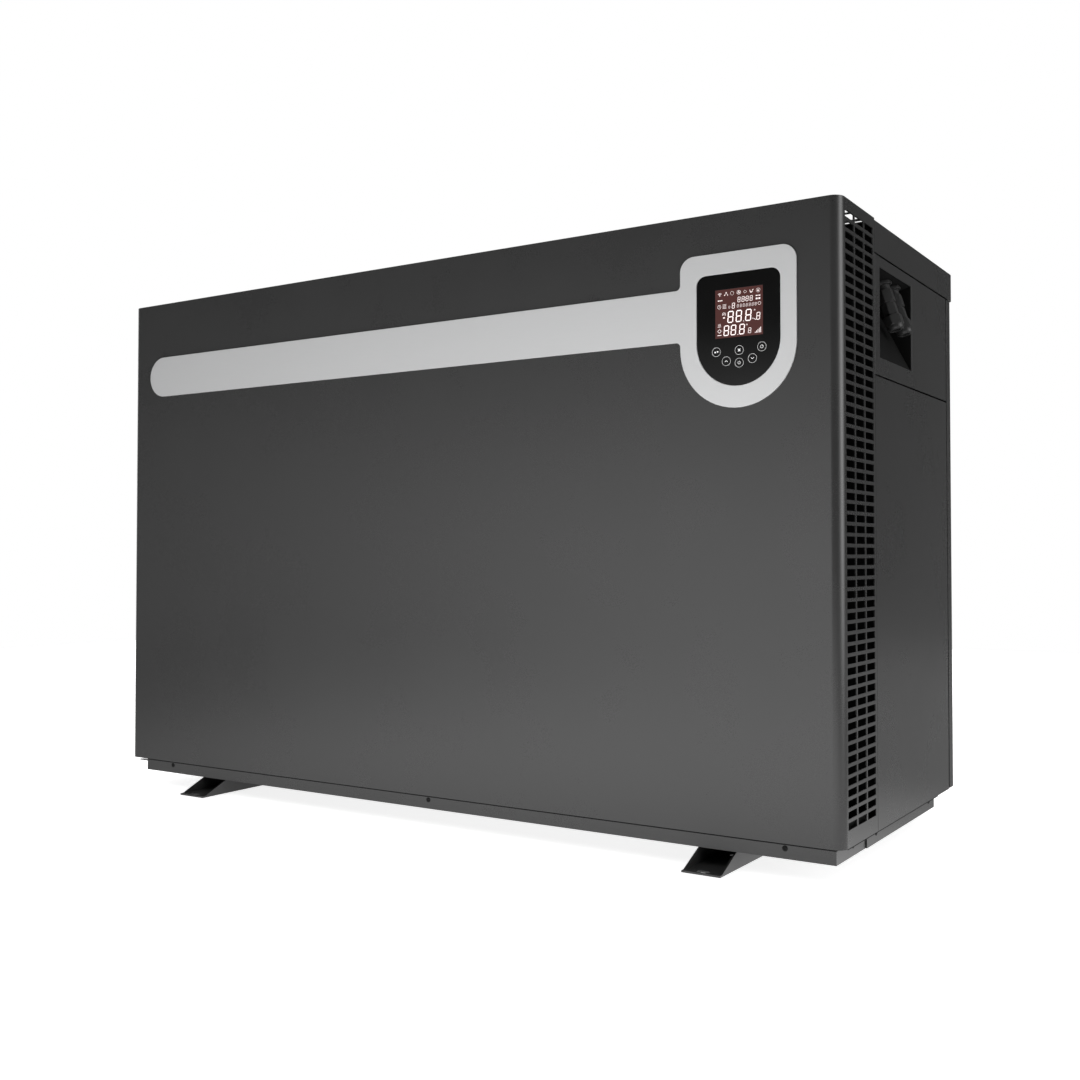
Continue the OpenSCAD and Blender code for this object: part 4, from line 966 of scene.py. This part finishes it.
def make_floor():
    """A white floor to look at. The object is lit by a pool of light on it and by what it bounces."""
    half, level = 2.8, -0.2 * MM
    mesh = bpy.data.meshes.new("floor")
    corners = [(-half, -half), (half, -half), (half, half), (-half, half)]
    mesh.from_pydata([(x, y, level) for x, y in corners], [], [(0, 1, 2, 3)])
    floor = bpy.data.objects.new("floor", mesh)
    bpy.context.scene.collection.objects.link(floor)
    material = surface("studio_floor", grey(0.75), 0.7, shade=0.01, patch=2, grain=200, depth=0.0,
                       glow=1.1)
    nodes, links = material.node_tree.nodes, material.node_tree.links
    seen = nodes["Principled BSDF"]
    out = nodes["Material Output"]
    place = nodes.new("ShaderNodeTexCoord")
    bounce = nodes.new("ShaderNodeBsdfDiffuse")
    socket(bounce, "Color", grey(FLOOR_BOUNCE))
    apart = nodes.new("ShaderNodeVectorMath")
    apart.operation = "DISTANCE"
    socket(apart, 1, POOL_AT)
    links.new(place.outputs["Object"], apart.inputs[0])
    pool = nodes.new("ShaderNodeEmission")
    fade = ramp(nodes, links, apart.outputs["Value"], *POOL_REACH, POOL_LIGHT, 0.0)
    links.new(fade, pool.inputs["Strength"])
    lit = nodes.new("ShaderNodeAddShader")
    links.new(bounce.outputs["BSDF"], lit.inputs[0])
    links.new(pool.outputs["Emission"], lit.inputs[1])
    path = nodes.new("ShaderNodeLightPath")
    mix = nodes.new("ShaderNodeMixShader")
    links.new(path.outputs["Is Camera Ray"], mix.inputs["Fac"])
    links.new(lit.outputs["Shader"], mix.inputs[1])
    links.new(seen.outputs["BSDF"], mix.inputs[2])
    links.new(mix.outputs["Shader"], out.inputs["Surface"])
    mesh.materials.append(material)


def make_world():
    """A white backdrop to look at, and a dim room whose soft light areas light the object.

    The area in front of the object is cut off above and on the right.
    """
    world = bpy.data.worlds.new("studio")
    bpy.context.scene.world = world
    world.use_nodes = True
    nodes, links = world.node_tree.nodes, world.node_tree.links
    nodes.clear()
    out = nodes.new("ShaderNodeOutputWorld")
    seen = nodes.new("ShaderNodeBackground")
    socket(seen, "Color", grey(1.0))
    place = nodes.new("ShaderNodeTexCoord")
    axes = nodes.new("ShaderNodeSeparateXYZ")
    links.new(place.outputs["Generated"], axes.inputs["Vector"])
    low_only = ramp(nodes, links, axes.outputs["Z"], 0.03, 0.2, 1.0, 0.05)
    left_only = ramp(nodes, links, axes.outputs["X"], -0.33, -0.02, 1.0, 0.1)
    front_only = arithmetic(nodes, links, "MULTIPLY", low_only, left_only)
    total = ROOM
    for turn, rise, narrow, strength in ROOM_LIGHTS:
        turn, rise = math.radians(turn), math.radians(rise)
        aim = nodes.new("ShaderNodeVectorMath")
        aim.operation = "DOT_PRODUCT"
        flat = math.cos(rise)
        socket(aim, 1, (math.cos(turn) * flat, math.sin(turn) * flat, math.sin(rise)))
        links.new(place.outputs["Generated"], aim.inputs[0])
        facing = arithmetic(nodes, links, "MAXIMUM", aim.outputs["Value"], 0.0)
        lobe = arithmetic(nodes, links, "POWER", facing, narrow)
        part = arithmetic(nodes, links, "MULTIPLY", lobe, strength)
        if turn < 0:
            part = arithmetic(nodes, links, "MULTIPLY", part, front_only)
        total = arithmetic(nodes, links, "ADD", part, total)
    room = nodes.new("ShaderNodeBackground")
    links.new(total, room.inputs["Color"])
    path = nodes.new("ShaderNodeLightPath")
    mix = nodes.new("ShaderNodeMixShader")
    links.new(path.outputs["Is Camera Ray"], mix.inputs["Fac"])
    links.new(room.outputs["Background"], mix.inputs[1])
    links.new(seen.outputs["Background"], mix.inputs[2])
    links.new(mix.outputs["Shader"], out.inputs["Surface"])


def make_lights():
    sky = bpy.data.lights.new("overhead", "SUN")
    sky.energy = 1.2
    sky.angle = math.radians(110)
    lamp = bpy.data.objects.new("overhead", sky)
    bpy.context.scene.collection.objects.link(lamp)


def make_studio():
    bpy.context.scene.view_settings.view_transform = "Standard"
    make_camera()
    make_floor()
    make_world()
    make_lights()


make_studio()
make_casing()
make_painted_shadow_strips()
make_inner_parts()
make_casing_screws()
make_glands()
make_fan()
make_fins()
make_coil_tubes()
draw_lcd()
draw_keys()
